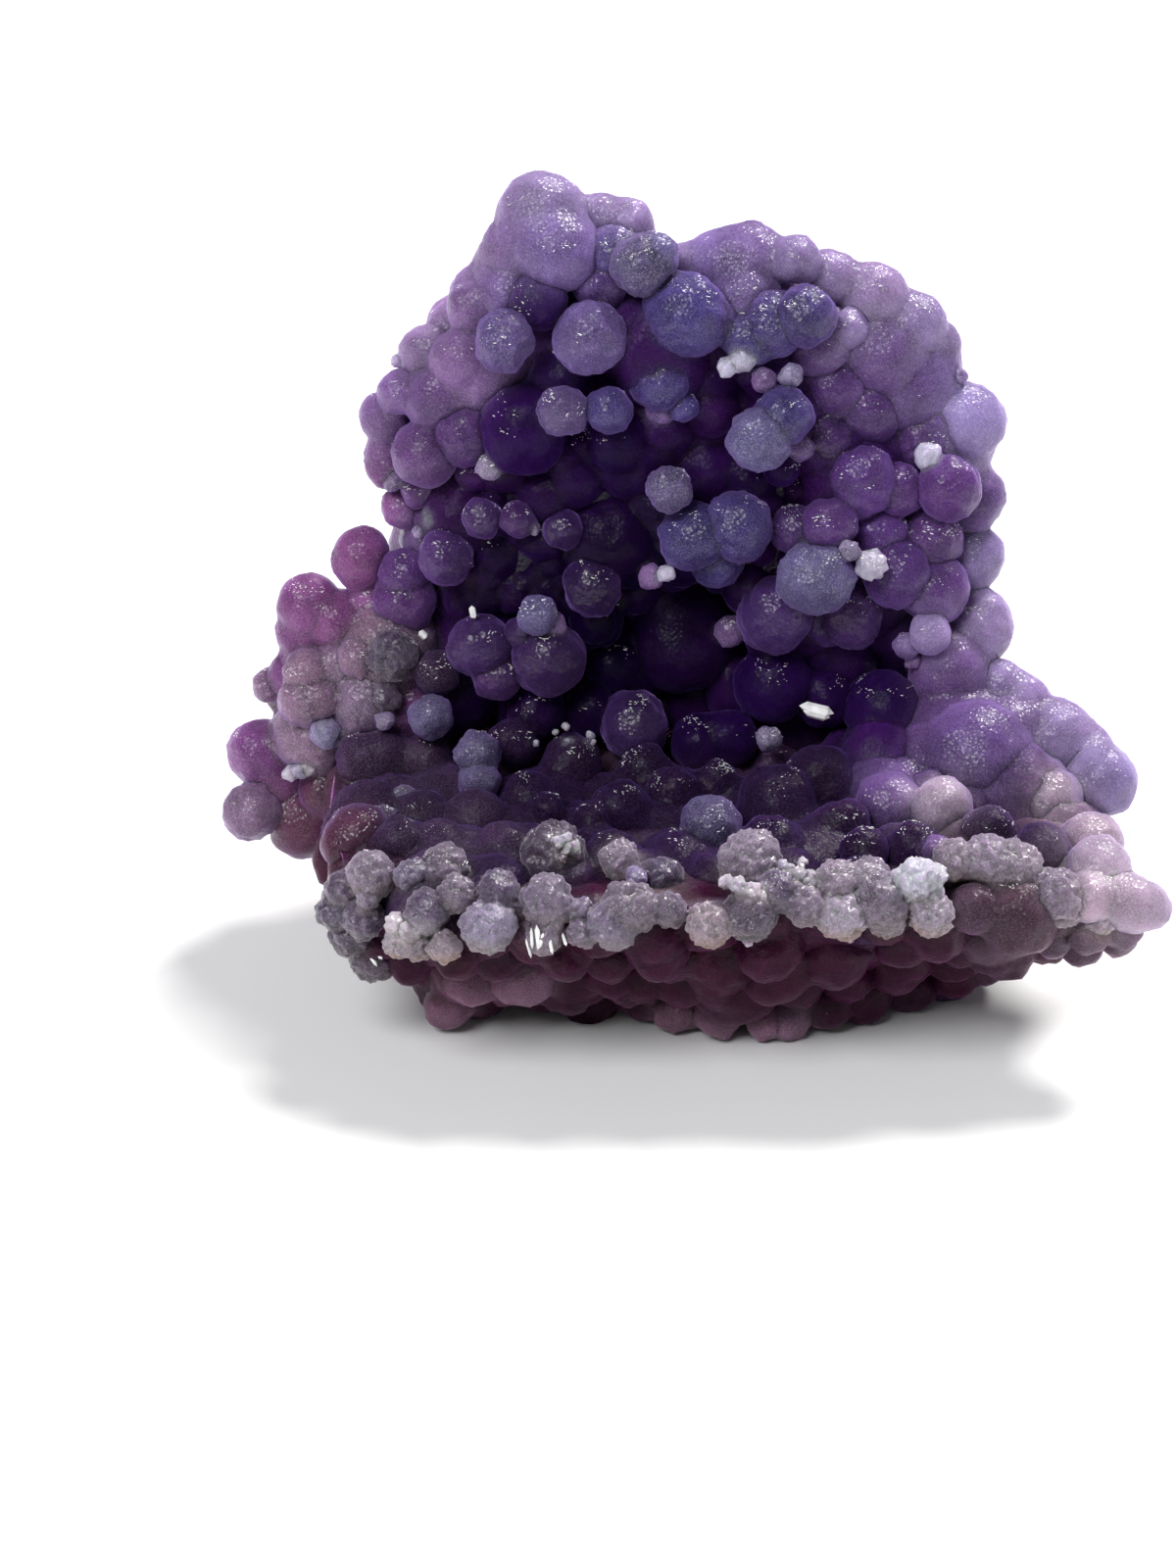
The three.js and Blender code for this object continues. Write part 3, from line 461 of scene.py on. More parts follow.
def geodesic(frequency):
    """Corners and facets of a ball of radius 1, with frequency facets along each icosahedron edge."""
    if frequency in GEODESICS:
        return GEODESICS[frequency]
    bm = bmesh.new()
    bmesh.ops.create_icosphere(bm, subdivisions=1, radius=1)
    triangles = np.array([[corner.co[:] for corner in face.verts] for face in bm.faces])
    bm.free()
    steps = [(i, j) for i in range(frequency + 1) for j in range(frequency + 1 - i)]
    place = {step: number for number, step in enumerate(steps)}
    shares = np.array([[frequency - i - j, i, j] for i, j in steps]) / frequency
    local = []
    for i, j in steps:
        if i + j < frequency:
            local.append([place[i, j], place[i + 1, j], place[i, j + 1]])
        if i + j < frequency - 1:
            local.append([place[i + 1, j], place[i + 1, j + 1], place[i, j + 1]])
    points = np.concatenate([shares @ triangle for triangle in triangles])
    facets = np.concatenate([np.array(local) + number * len(steps) for number in range(len(triangles))])
    _, first, same = np.unique(np.round(points, 5), axis=0, return_index=True, return_inverse=True)
    corners = points[first]
    corners /= np.linalg.norm(corners, axis=1)[:, None]
    GEODESICS[frequency] = corners, same.reshape(-1)[facets]
    return GEODESICS[frequency]


def waves(ways, rng, scale):
    """A smooth value of about -1 to 1 for each direction."""
    pushes = scale * rng.normal(size=(6, 3))
    shifts = rng.uniform(0, 2 * math.pi, 6)
    return np.sin(ways @ pushes.T + shifts).mean(axis=1) * 2


def turned_by(rng):
    """A turn in space."""
    turn, _ = np.linalg.qr(rng.normal(size=(3, 3)))
    return turn * np.sign(np.linalg.det(turn))


def lump_reach(ways, number, kind, radius):
    """How far a lump reaches each way over its radius: an uneven ball with flats and crystals."""
    rng = np.random.default_rng(number)
    reach = 1 + kind["uneven"] * (waves(ways, rng, 1.6) + 0.4 * waves(ways, rng, 5))
    if kind["flats"]:
        faces = rng.normal(size=(kind["flats"], 3))
        faces /= np.linalg.norm(faces, axis=1)[:, None]
        depths = rng.uniform(kind["least"], 0.5 * (1 + kind["least"]), kind["flats"])
        cuts = (depths / np.maximum(ways @ faces.T, 0.05)).min(axis=1)
        reach = np.minimum(reach, cuts)
    tips = rng.normal(size=(math.ceil(16 * (radius / kind["crystal"]) ** 2), 3))
    tips /= np.linalg.norm(tips, axis=1)[:, None]
    away = np.arccos(np.clip((ways @ tips.T).max(axis=1), -1, 1)) * 2 * radius / kind["crystal"]
    return reach + kind["serrated"] / radius * (0.5 - away)


def lump_shape(lump, number):
    """Corners and facets of one lump."""
    centre, radius, kind = lump
    kind = KINDS[kind]
    ways, facets = geodesic(max(3, round(FINENESS[kind["piece"]] * radius)))
    ways = ways @ turned_by(np.random.default_rng(number)).T
    return MIDDLE + centre + radius * lump_reach(ways, number, kind, radius)[:, None] * ways, facets


def mesh_object(name, corners, facets):
    """A mesh object of corners in millimetres."""
    mesh = bpy.data.meshes.new(name)
    mesh.from_pydata((MM * np.asarray(corners)).tolist(), [], np.asarray(facets).tolist())
    piece = bpy.data.objects.new(name, mesh)
    bpy.context.scene.collection.objects.link(piece)
    return piece


def joined(base, others, operation):
    """The base joined with the others, or cut by them: the others are used up."""
    group = bpy.data.collections.new("joining")
    bpy.context.scene.collection.children.link(group)
    for other in others:
        bpy.context.scene.collection.objects.unlink(other)
        group.objects.link(other)
    change = base.modifiers.new("joining", "BOOLEAN")
    change.operation = operation
    change.operand_type = "COLLECTION"
    change.collection = group
    change.solver = "MANIFOLD"
    mesh = bpy.data.meshes.new_from_object(base.evaluated_get(bpy.context.evaluated_depsgraph_get()))
    base.modifiers.clear()
    base.data = mesh
    for other in others:
        bpy.data.objects.remove(other)
    bpy.data.collections.remove(group)
    return base


def body_shape(mass):
    """An egg-shaped body that carries lumps."""
    ways, facets = geodesic(BODY_FINENESS)
    return MIDDLE + np.array(mass[:3]) + ways * np.array(mass[3:]), facets


def foot_shape():
    """The foot: a closed skin over its outlines, capped above and below."""
    corners = [[x, y, height] for height, outline in FOOT.items() for x, y in outline]
    facets = []
    count = len(FOOT[FOOT_TOP])
    last = len(corners) - count
    for start in range(0, last, count):
        for i in range(count):
            here, there = start + i, start + (i + 1) % count
            facets += [[here, here + count, there], [there, here + count, there + count]]
    for start, turned in ((0, False), (last, True)):
        middle = len(corners)
        corners.append(list(np.mean(corners[start:start + count], axis=0)))
        for i in range(count):
            here, there = start + i, start + (i + 1) % count
            facets.append([middle, there, here] if turned else [middle, here, there])
    return MIDDLE + np.array(corners), facets


# Small lumps where the bodies or the hollow's wall still show, further than bare from all other lumps
# and than overlap from each other.
GAP_FILL = dict(
    radius=1.5, least=0.7, spread=0.9, sunk=0.4, points=1200, bare=0.1, overlap=-0.3, hidden=0.97,
    first=9000,
)


def egg_reach(mass, place):
    """How far out a place lies from a body's middle, over the body's own reach that way."""
    return np.linalg.norm((place - np.array(mass[:3])) / np.array(mass[3:]))


def is_bare(place, lumps, most):
    """Whether a place lies outside all lumps by more than that."""
    return all(math.dist(place, centre) > radius + most for centre, radius, _ in lumps)


def is_buried(place, mass):
    """Whether a place on a body or on the hollow's wall lies inside the stone, or not on it at all."""
    if mass is HOLLOW:
        return all(egg_reach(other, place) > 1 for other in MASSES)
    others = [other for other in MASSES if other is not mass]
    hidden = any(egg_reach(other, place) < GAP_FILL["hidden"] for other in others)
    return hidden or egg_reach(HOLLOW, place) < 1 or place[2] < FOOT_TOP


def fill_gaps(lumps, named):
    """Small lumps where the bodies and the wall of the hollow would show between the others."""
    fill = GAP_FILL
    gaps = []
    for number, mass in enumerate([*MASSES, HOLLOW]):
        outward = -1 if mass is HOLLOW else 1
        for i in range(fill["points"]):
            seed = fill["first"] + 3 * (fill["points"] * number + i)
            way = way_round(GOLDEN_TURN * i, 1 - 2 * (i + chance(seed)) / fill["points"])
            place = np.array(mass[:3]) + np.array(mass[3:]) * way
            if is_buried(place, mass) or not is_bare(place, lumps, fill["bare"]):
                continue
            if is_bare(place, gaps, fill["overlap"]):
                radius = fill_radius(fill, seed + 1)
                centre = place - outward * fill["sunk"] * radius * way
                # The hollow's lumps are dark, partly as painted shade.
                gaps.append((centre, radius, "dark" if mass is HOLLOW else fill_kind(centre, named)))
    return gaps


def all_lumps():
    """The centre, radius and kind of every lump, those of the bodies first, and how many those are."""
    named = [(*place_lump(row), kind) for kind, rows in LUMPS.items() for row in rows]
    fill = [lump for number, mass in enumerate(MASSES) for lump in fill_body(mass, number)]
    lumps = [(centre, radius, fill_kind(centre, named)) for centre, radius in fill]
    bodies = len(lumps)
    lumps += [(centre, radius, ledge_kind(centre)) for centre, radius in fill_ledge()]
    lumps += [(centre, radius, flank_kind(centre)) for centre, radius in fill_flanks()]
    lumps += named
    lumps += fill_gaps(lumps, named)
    return lumps, bodies


# Painted shade darkens the stone round the hollow, over the stone's own deeper colour there: where that
# is, how far it reaches, how much red, green and blue is left in its middle, and how much of its reach is
# as dark as that.
HOLLOW_SHADE = dict(middle=(2, 9, 12.5), reach=(18, 18, 19), least=(0.20, 0.13, 0.27), core=0.3)
# Painted shade darkens the creases between lumps: how wide that is, in millimetres, by how much, and
# how far lumps run into each other when it doesn't show at all.
CREASE_SHADE = dict(width=0.2, darker=0.6, fused=0.35)
# How unlike each other lumps of one kind are in lightness and in warmth.
UNLIKE = dict(shade=0.3, warmth=0.12)
# How much of its lower colour a lump has at its middle, and how fast that grows downwards.
BELOW = dict(middle=0.1, growth=1.4)
# How far off a lump's colour still counts.
TINT_REACH = 3.0
# The stone is redder on its left: where that starts, over how many millimetres it grows, and how much
# red, green and blue there is then for each part of the lump's own.
LEFT = dict(start=-3, reach=14, tint=(1.08, 0.88, 0.86))


def gloom(places):
    """How much red, green and blue the stone keeps, near the hollow under painted shade and on its left."""
    away = np.linalg.norm((places - HOLLOW_SHADE["middle"]) / HOLLOW_SHADE["reach"], axis=1)
    share = np.clip((away - HOLLOW_SHADE["core"]) / (1 - HOLLOW_SHADE["core"]), 0, 1)
    share = (share * share * (3 - 2 * share))[:, None]
    left = np.clip((LEFT["start"] - places[:, :1]) / LEFT["reach"], 0, 1)
    return (np.array(HOLLOW_SHADE["least"]) * (1 - share) + share) * (1 + left * (np.array(LEFT["tint"]) - 1))


# Filling lumps on the bodies take after the named lump nearest to them, if it is of a kind that
# spreads. Those further from it than this, or behind the start of the back, are of the kinds behind,
# each with its share. The others are orchid behind the upper wall and mauve left of the lobe's edge.
TAKES_AFTER = 7.5
SPREADS = ("lavender", "lilac", "orchid", "mauve", "ash", "maroon")
BEHIND = {"orchid": 0.5, "lilac": 0.28, "mauve": 0.1, "lavender": 0.12}
BACK = 17
UPPER_WALL = 13
LOBE_EDGE = -13
# The kinds of lumps round the foot: on its flanks behind its front, and on its top behind the ledge
# and right of where the tip starts. The ledge is paler on its left.
ROUND_FOOT = {"plum": 0.3, "wine": 0.4, "murk": 0.3}
FOOT_FRONT = -6
TIP_START = 26
LEDGE_BACK = 4
LEDGE_LEFT = -7


def kind_by_share(shares, number):
    """One of some kinds, by its share and a number for chance."""
    reached = 0
    for kind, share in shares.items():
        reached += share
        if chance(number) < reached:
            return kind
    return kind


def fill_kind(centre, named):
    """The kind of a filling lump of a body, from the named lumps round it."""
    near = min(named, key=lambda lump: math.dist(lump[0], centre))
    if math.dist(near[0], centre) > TAKES_AFTER or centre[1] > BACK:
        return kind_by_share(BEHIND, centre[0] + 3 * centre[2])
    if near[2] in SPREADS:
        return near[2]
    if centre[1] > UPPER_WALL:
        return "orchid"
    # The rest are shade, dark partly as painted shade.
    return "mauve" if centre[0] < LOBE_EDGE else "shade"


def ledge_kind(centre):
    """The kind of a lump on top of the foot, from where it lies."""
    x, y, _ = centre
    if y > LEDGE_BACK or x > TIP_START:
        return kind_by_share(ROUND_FOOT, x + 3 * y)
    return "haze" if x < LEDGE_LEFT else "dusk"


def flank_kind(centre):
    """The kind of a lump on the foot's flank: the front is one even plum, dark partly as painted shade
    under the rim.
    """
    x, y, _ = centre
    return kind_by_share(ROUND_FOOT, x + 3 * y) if y > FOOT_FRONT else "plum"


def make_body(shapes, bodies):
    """The bodies with their lumps, hollowed, and the other lumps in the same piece."""
    first, *carriers = [mesh_object("carrier", *body_shape(mass)) for mass in MASSES]
    inner = [shape for number, shape in shapes.items() if number < bodies]
    outer = [shape for number, shape in shapes.items() if number >= bodies]
    body = joined(first, carriers + inner, "UNION")
    joined(body, [mesh_object("hollow", *body_shape(HOLLOW))], "DIFFERENCE")
    return joined(body, outer, "UNION")


def make_foot(shapes):
    """The foot with the lumps on its flanks, cut off flat below."""
    foot = joined(mesh_object("foot", *foot_shape()), list(shapes.values()), "UNION")
    block = bmesh.new()
    bmesh.ops.create_cube(block, size=GROUND_SIZE)
    bmesh.ops.translate(block, verts=block.verts, vec=(0, 0, -GROUND_SIZE / 2))
    corners = np.array([corner.co[:] for corner in block.verts]) / MM
    facets = [[corner.index for corner in face.verts] for face in block.faces]
    block.free()
    return joined(foot, [mesh_object("ground", corners, facets)], "DIFFERENCE")


def make_cluster(shapes):
    """Lumps joined where they touch."""
    first, *others = shapes.values()
    return joined(first, others, "UNION")


def make_piece(name, lumps, bodies):
    """One piece of the stone: its lumps, run together, coloured and roughened."""
    numbers = [number for number, lump in enumerate(lumps) if KINDS[lump[2]]["piece"] == name]
    shapes = {i: mesh_object("lump", *lump_shape(lumps[i], i)) for i in numbers}
    if name == "chalcedony_surface":
        piece = make_body(shapes, bodies)
    else:
        piece = make_foot(shapes) if name == "plum_foot" else make_cluster(shapes)
    triangulate(piece)
    fuse_lumps(piece, lumps, numbers)
    tint_stone(piece, lumps)
    roughen(piece)
    piece.name = piece.data.name = name
    piece.data.materials.clear()
    piece.data.materials.append(stone_material(name, **MATERIALS[name]))
    piece.data.shade_smooth()
    piece.data.set_sharp_from_angle(angle=SHARP)
    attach(piece, "root")
    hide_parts("chalcedony")


def triangulate(piece):
    """Makes triangles of all faces of a piece."""
    bm = bmesh.new()
    bm.from_mesh(piece.data)
    bmesh.ops.triangulate(bm, faces=bm.faces)
    bm.to_mesh(piece.data)
    bm.free()


def values_of(items, name, width, kind):
    """What a mesh's vertices, corners or faces have under a name, as rows of that width."""
    values = np.empty(width * len(items), kind)
    items.foreach_get(name, values)
    return values.reshape(-1, width)


def skin_places(mesh):
    """Where the corners of a skin are, in millimetres from the plane's centre."""
    return values_of(mesh.vertices, "co", 3, float) / MM - MIDDLE


def move_skin(mesh, places):
    """Moves the corners of a skin to new places."""
    mesh.vertices.foreach_set("co", ((places + MIDDLE) * MM).astype(np.float32).reshape(-1))
    mesh.update()


def near_lumps(places, lumps, numbers, margin):
    """For some lumps the number, the places near it, how far they lie above it and the ways out."""
    for number in numbers:
        centre, radius, kind = lumps[number]
        offset = places - centre
        near = np.flatnonzero((np.abs(offset) < radius * 1.15 + margin).all(axis=1))
        far = np.linalg.norm(offset[near], axis=1)
        ways = offset[near] / far[:, None]
        yield number, near, far - radius * lump_reach(ways, number, KINDS[kind], radius), ways


# How the skin is moved out in the creases: in how many rounds, how far at most in each, and how much
# of the lumps has to be near a place for it.
FUSING = dict(rounds=3, farthest=0.5, least=0.7)


def fuse_lumps(stone, lumps, numbers):
    """Rounds the creases between lumps by moving the skin out to where the lumps run together."""
    places = skin_places(stone.data)
    grounded = places[:, 2] < 0.001 - MIDDLE[2]
    margin = 4 * max(KINDS[lumps[number][2]]["fused"] for number in numbers)
    for _ in range(FUSING["rounds"]):
        weight = np.full(len(places), 1e-9)
        width = np.zeros(len(places))
        push = np.zeros((len(places), 3))
        for number, near, gap, ways in near_lumps(places, lumps, numbers, margin):
            fused = KINDS[lumps[number][2]]["fused"]
            share = np.exp(np.clip(-gap / fused, -30, 3))
            weight[near] += share
            width[near] += share * fused
            push[near] += share[:, None] * ways
        step = np.clip(width / weight * np.log(weight), 0, FUSING["farthest"])
        move = push * (step / np.maximum(np.linalg.norm(push, axis=1), 1e-9))[:, None]
        move[weight < FUSING["least"]] = 0
        move[grounded] *= [1, 1, 0]
        places += move
    places[:, 2] = np.maximum(places[:, 2], -MIDDLE[2])
    move_skin(stone.data, places)


def lump_tint(number, kind, ways):
    """The red, green, blue and druse of a lump at each of some ways out from its middle."""
    shade = 1 + UNLIKE["shade"] * (chance(number + 0.3) - 0.5)
    warm = 1 + UNLIKE["warmth"] * (chance(number + 0.7) - 0.5)
    low = np.clip(BELOW["middle"] - BELOW["growth"] * ways[:, 2:], 0, 1)
    tint = (1 - low) * kind["colour"] + low * np.array(kind["below"])
    tint *= [shade * warm, shade, shade * (2 - warm)]
    return np.column_stack([tint, np.full(len(ways), kind["druse"])])


def mixed_tints(places, lumps):
    """The red, green, blue and druse of the skin at some places, with painted shade in the creases."""
    total = np.full(len(places), 1e-300)
    tints = np.zeros((len(places), 4))
    first = np.full(len(places), 1e-9)
    second = np.zeros(len(places))
    crisp = np.zeros(len(places))
    for number, near, gap, ways in near_lumps(places, lumps, range(len(lumps)), TINT_REACH):
        kind = KINDS[lumps[number][2]]
        share = np.exp(np.clip(-gap / kind["blends"], -300, 3))
        total[near] += share
        # Painted shade round the hollow, with the redder left, for the kinds that take it.
        kept = gloom(places[near]) if kind["gloomy"] else np.ones((len(near), 3))
        kept = np.column_stack([kept, kept[:, 0]])
        tints[near] += share[:, None] * lump_tint(number, kind, ways) * kept
        close = np.exp(np.clip(-gap / CREASE_SHADE["width"], -30, 3))
        crisp[near] += share * max(0, 1 - kind["fused"] / CREASE_SHADE["fused"])
        second[near] = np.maximum(second[near], np.minimum(first[near], close))
        first[near] = np.maximum(first[near], close)
    tints /= total[:, None]
    # Painted shade in the creases between crisp lumps.
    crease_shade = CREASE_SHADE["darker"] * (crisp / total) * (second / first) ** 2
    tints[:, :3] *= 1 - crease_shade[:, None]
    return tints


def skin_corners(mesh):
    """The corner of the skin that each corner of its facets is."""
    return values_of(mesh.loops, "vertex_index", 1, np.int32)[:, 0]


def tint_stone(stone, lumps):
    """Gives the skin its lumps' colours, with the druse as their fourth part."""
    mesh = stone.data
    tints = mixed_tints(skin_places(mesh), lumps)
    layer = mesh.attributes.new("tint", "FLOAT_COLOR", "CORNER")
    layer.data.foreach_set("color", tints[skin_corners(mesh)].astype(np.float32).reshape(-1))


# Fine relief, in millimetres: the size of its waves, its height and how much higher druse makes it.
RELIEF = [dict(size=1.1, height=0.10, more=0.0), dict(size=0.45, height=0.03, more=0.16)]
# How far above the cut base it starts.
RELIEF_START = 0.3


def roughen(stone):
    """Fine relief all over the skin but its cut base, higher where pale druse covers it."""
    mesh = stone.data
    places = skin_places(mesh)
    ways = values_of(mesh.vertex_normals, "vector", 3, np.float32)
    tints = values_of(mesh.attributes["tint"].data, "color", 4, np.float32)
    druse = np.zeros(len(places))
    druse[skin_corners(mesh)] = tints[:, 3]
    rise = np.zeros(len(places))
    for relief in RELIEF:
        waves_here = np.array([noise.noise(Vector(place) / relief["size"]) for place in places])
        rise += waves_here * (relief["height"] + relief["more"] * druse)
    rise[places[:, 2] < RELIEF_START - MIDDLE[2]] = 0
    move_skin(mesh, places + ways * rise[:, None])


# White needles and a shard, as the eye sees them: [across, up] of both ends, back and width.
NEEDLES = [
    [-4.2, -10.6, -4.1, -12.2, -19.9, 0.14], [-3.8, -10.4, -3.6, -12.5, -20.1, 0.2],
    [-3.3, -11, -3.6, -12.2, -20.2, 0.14], [-2.9, -11.3, -2.6, -12.6, -20.1, 0.15],
    [-1.9, -11, -1.6, -12, -19.8, 0.15], [-4.6, -11.4, -4.2, -12.9, -19.6, 0.12],
    [-16.4, -12.3, -15.6, -13.5, -13.4, 0.15], [-15.9, -12, -15.2, -13, -13.6, 0.15],
    [15.6, 5.8, 18.2, 5.2, 1.6, 0.4], [15.9, 5.4, 17.9, 4.9, 1.4, 0.35],
    [-12.5, 11.3, -11.9, 10.8, 5.6, 0.3], [-8.6, 13.2, -8.4, 12.2, 4.6, 0.28],
]


def needle_shape(start, end, width, rng):
    """Corners and facets of a needle with a point at each end."""
    sides = 6
    along = (end - start) / np.linalg.norm(end - start)
    side = np.cross(along, rng.normal(size=3))
    side /= np.linalg.norm(side)
    other = np.cross(along, side)
    corners = [start]
    for middle in (0.2, 0.8):
        for i in range(sides):
            turn = 2 * math.pi * i / sides
            edge = side * math.cos(turn) + other * math.sin(turn)
            corners.append(start + (end - start) * middle + width * rng.uniform(0.75, 1.1) * edge)
    corners.append(end)
    facets = []
    for i in range(sides):
        here, there = 1 + i, 1 + (i + 1) % sides
        facets += [[0, there, here], [here, there, here + sides], [there, there + sides, here + sides]]
        facets.append([2 * sides + 1, here + sides, there + sides])
    return np.array(corners), np.array(facets)


# Tiny white crystals that stand on the lumps' tops in groups, partly the stone's own druse and partly
# painted glints, in millimetres: the share of the rim's lumps without any, the smallest radius of a lump
# with some, the most groups on a lump, which way they lie and how far from it, how far off other lumps
# matter, how many crystals are in a group, how wide it is along and down the lump, how far they lean,
# how short they are, how much longer at most, and how thick.
PAINTED_GLINTS = dict(
    bare_rim=0.5, smallest=1.0, groups=5, way=(0, -0.3, 0.75), scatter=(0.5, 0.45, 0.3), clear=9, fewest=3,
    most=15, width=0.45, along=1.3, down=0.6, lean=0.45, shortest=0.06, longer=0.4, thick=0.04,
)


def painted_glint_groups(lumps, bodies, rng):
    """The groups of tiny crystals, painted glints on the lumps' tops: their lump's number, middle and way
    out.
    """
    for number, (centre, radius, kind) in enumerate(lumps[bodies:], bodies):
        if radius < PAINTED_GLINTS["smallest"]:
            continue
        if KINDS[kind]["piece"] == "rim_crust" and rng.random() < PAINTED_GLINTS["bare_rim"]:
            continue
        others = [lump for lump in lumps if 0 < math.dist(lump[0], centre) < PAINTED_GLINTS["clear"]]
        for _ in range(rng.integers(1, PAINTED_GLINTS["groups"] + 1)):
            way = rng.normal(size=3) * PAINTED_GLINTS["scatter"] + PAINTED_GLINTS["way"]
            way /= np.linalg.norm(way)
            place = centre + radius * way
            if is_bare(place, others, 0) and place[2] > 0:
                yield number, place, way


def splinter(lump, number, middle, level, steep, rng):
    """The place of one tiny crystal near the middle of its group, and its own three directions."""
    centre, radius, kind = lump
    along, down = PAINTED_GLINTS["width"] * rng.normal(size=2) * [PAINTED_GLINTS["along"], PAINTED_GLINTS["down"]]
    out = middle + along * level + down * steep - centre
    out /= np.linalg.norm(out)
    place = centre + radius * out * lump_reach(out[None], number, KINDS[kind], radius)
    length = PAINTED_GLINTS["shortest"] + PAINTED_GLINTS["longer"] * rng.random() ** 3
    lean = rng.normal(scale=PAINTED_GLINTS["lean"])
    line = math.cos(lean) * level + math.sin(lean) * steep
    thick = PAINTED_GLINTS["thick"]
    return place, np.array([thick * np.cross(line, out), 0.5 * length * line, thick * out])


def splinters(lumps, bodies, rng):
    """Corners and facets of each tiny crystal, a closed diamond."""
    ends, sides = diamond_shape()
    for number, middle, way in painted_glint_groups(lumps, bodies, rng):
        level = np.cross(way, [0, 0, 1])
        level /= np.linalg.norm(level)
        steep = np.cross(way, level)
        for _ in range(rng.integers(PAINTED_GLINTS["fewest"], PAINTED_GLINTS["most"] + 1)):
            place, frame = splinter(lumps[number], number, middle, level, steep, rng)
            yield MIDDLE + place + ends @ frame, sides


def needles(rng):
    """Corners and facets of each white needle."""
    for across, up, across_end, up_end, back, width in NEEDLES:
        first, width = place_lump([across, up, back, width])
        last, _ = place_lump([across_end, up_end, back, width])
        corners, facets = needle_shape(first, last, width, rng)
        yield MIDDLE + corners, facets


def add_glints_and_needles(lumps, bodies):
    """The tiny crystals on the lumps, whose near white is painted glint, the needles and the shard, as one
    piece.
    """
    rng = np.random.default_rng(7)
    corners = []
    facets = []
    start = 0
    for points, sides in [*splinters(lumps, bodies, rng), *needles(rng)]:
        corners.append(points)
        facets.append(sides + start)
        start += len(points)
    glints_and_needles = mesh_object("glints_and_needles", np.concatenate(corners), np.concatenate(facets))
    look = Look("glints_and_needles")
    # Near white, so the crystals show as painted glints wherever light reaches them; the needles' white is
    # their own.
    shade = look.ranged(look.noise(1.2), 0.35, 0.65, 0.65, 1.0)
    glints_and_needles.data.materials.append(look.finish(base_color=shade, roughness=0.25, ior=1.54))
    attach(glints_and_needles, "root")


def diamond_shape():
    """Corners and facets of a closed diamond with eight sides."""
    ends = np.array([[1, 0, 0], [0, 1, 0], [-1, 0, 0], [0, -1, 0], [0, 0, 1], [0, 0, -1]], float)
    sides = []
    for i in range(4):
        following = (i + 1) % 4
        sides += [[i, following, 4], [following, i, 5]]
    return ends, np.array(sides)


def add_camera():
    """The camera, where the photograph was taken from."""
    camera = bpy.data.objects.new("camera", bpy.data.cameras.new("camera"))
    bpy.context.scene.collection.objects.link(camera)
    camera.location = MM * (MIDDLE + EYE)
    camera.rotation_euler = (math.pi / 2 - EYE_HEIGHT, 0, 0)
    camera.data.sensor_width = SENSOR
    camera.data.lens = SENSOR * EYE_DISTANCE / PICTURE_HEIGHT
    camera.data.clip_start = 0.01
    bpy.context.scene.camera = camera


def add_light(name, place, spread, strength, colour):
    """A soft far light that shines on the stone from the direction of a place, in metres."""
    data = bpy.data.lights.new(name, "SUN")
    data.angle = math.radians(spread)
    data.energy = strength
    data.color = colour
    light = bpy.data.objects.new(name, data)
    light.location = place
    light.rotation_euler = (LIT_PLACE - Vector(place)).to_track_quat("-Z", "Y").to_euler()
    bpy.context.scene.collection.objects.link(light)


class Look:
    """A material that is built node by node: texture sizes are in millimetres."""

    def __init__(self, name):
        self.material = bpy.data.materials.new(name)
        self.material.use_nodes = True
        self.tree = self.material.node_tree
        self.shader = self.tree.nodes["Principled BSDF"]
        self.place = self.tree.nodes.new("ShaderNodeTexCoord").outputs["Object"]

    def connect(self, node, inputs):
        """Gives a node its inputs: each is a value or another node's output."""
        for name, value in inputs.items():
            if isinstance(value, bpy.types.NodeSocket):
                self.tree.links.new(value, node.inputs[name])
            else:
                node.inputs[name].default_value = value

    def add(self, kind, inputs, **settings):
        """A new node with its settings and inputs."""
        node = self.tree.nodes.new(kind)
        for name, value in settings.items():
            setattr(node, name, value)
        self.connect(node, inputs)
        return node

    def noise(self, size, detail=2.0):
        """Cloudy values round 0.5, with clouds of about that size."""
        inputs = {"Vector": self.place, "Scale": 1 / (size * MM), "Detail": detail}
        return self.add("ShaderNodeTexNoise", inputs).outputs["Fac"]

    def cells(self, size):
        """The distance from the middle of crystals of about that size."""
        inputs = {"Vector": self.place, "Scale": 1 / (size * MM)}
        return self.add("ShaderNodeTexVoronoi", inputs).outputs["Distance"]

    def ranged(self, value, low, high, to_low=0.0, to_high=1.0):
        """A value that goes from to_low to to_high while the given one goes from low to high."""
        inputs = {"Value": value, "From Min": low, "From Max": high, "To Min": to_low, "To Max": to_high}
        return self.add("ShaderNodeMapRange", inputs).outputs["Result"]

    def math(self, operation, first, second):
        """Two values through one operation."""
        return self.add("ShaderNodeMath", {0: first, 1: second}, operation=operation).outputs[0]

    def mixed(self, share, first, second):
        """Two colours mixed, with that share of the second."""
        return self.add("ShaderNodeMix", {0: share, 6: first, 7: second}, data_type="RGBA").outputs[2]

    def times(self, colour, factor):
        """A colour made lighter or darker."""
        inputs = {0: colour, 1: factor}
        return self.add("ShaderNodeVectorMath", inputs, operation="MULTIPLY").outputs[0]

    def bumps(self, heights):
        """A surface direction from heights, given as pairs of a value and its height in millimetres."""
        normal = None
        for value, height in heights:
            inputs = {"Height": value, "Distance": height * MM, "Strength": 1.0}
            if normal:
                inputs["Normal"] = normal
            normal = self.add("ShaderNodeBump", inputs).outputs["Normal"]
        return normal

    def finish(self, **inputs):
        """The material, once its shader's inputs are set."""
        for name, value in inputs.items():
            self.connect(self.shader, {name.replace("_", " ").title().replace("Ior", "IOR"): value})
        return self.material


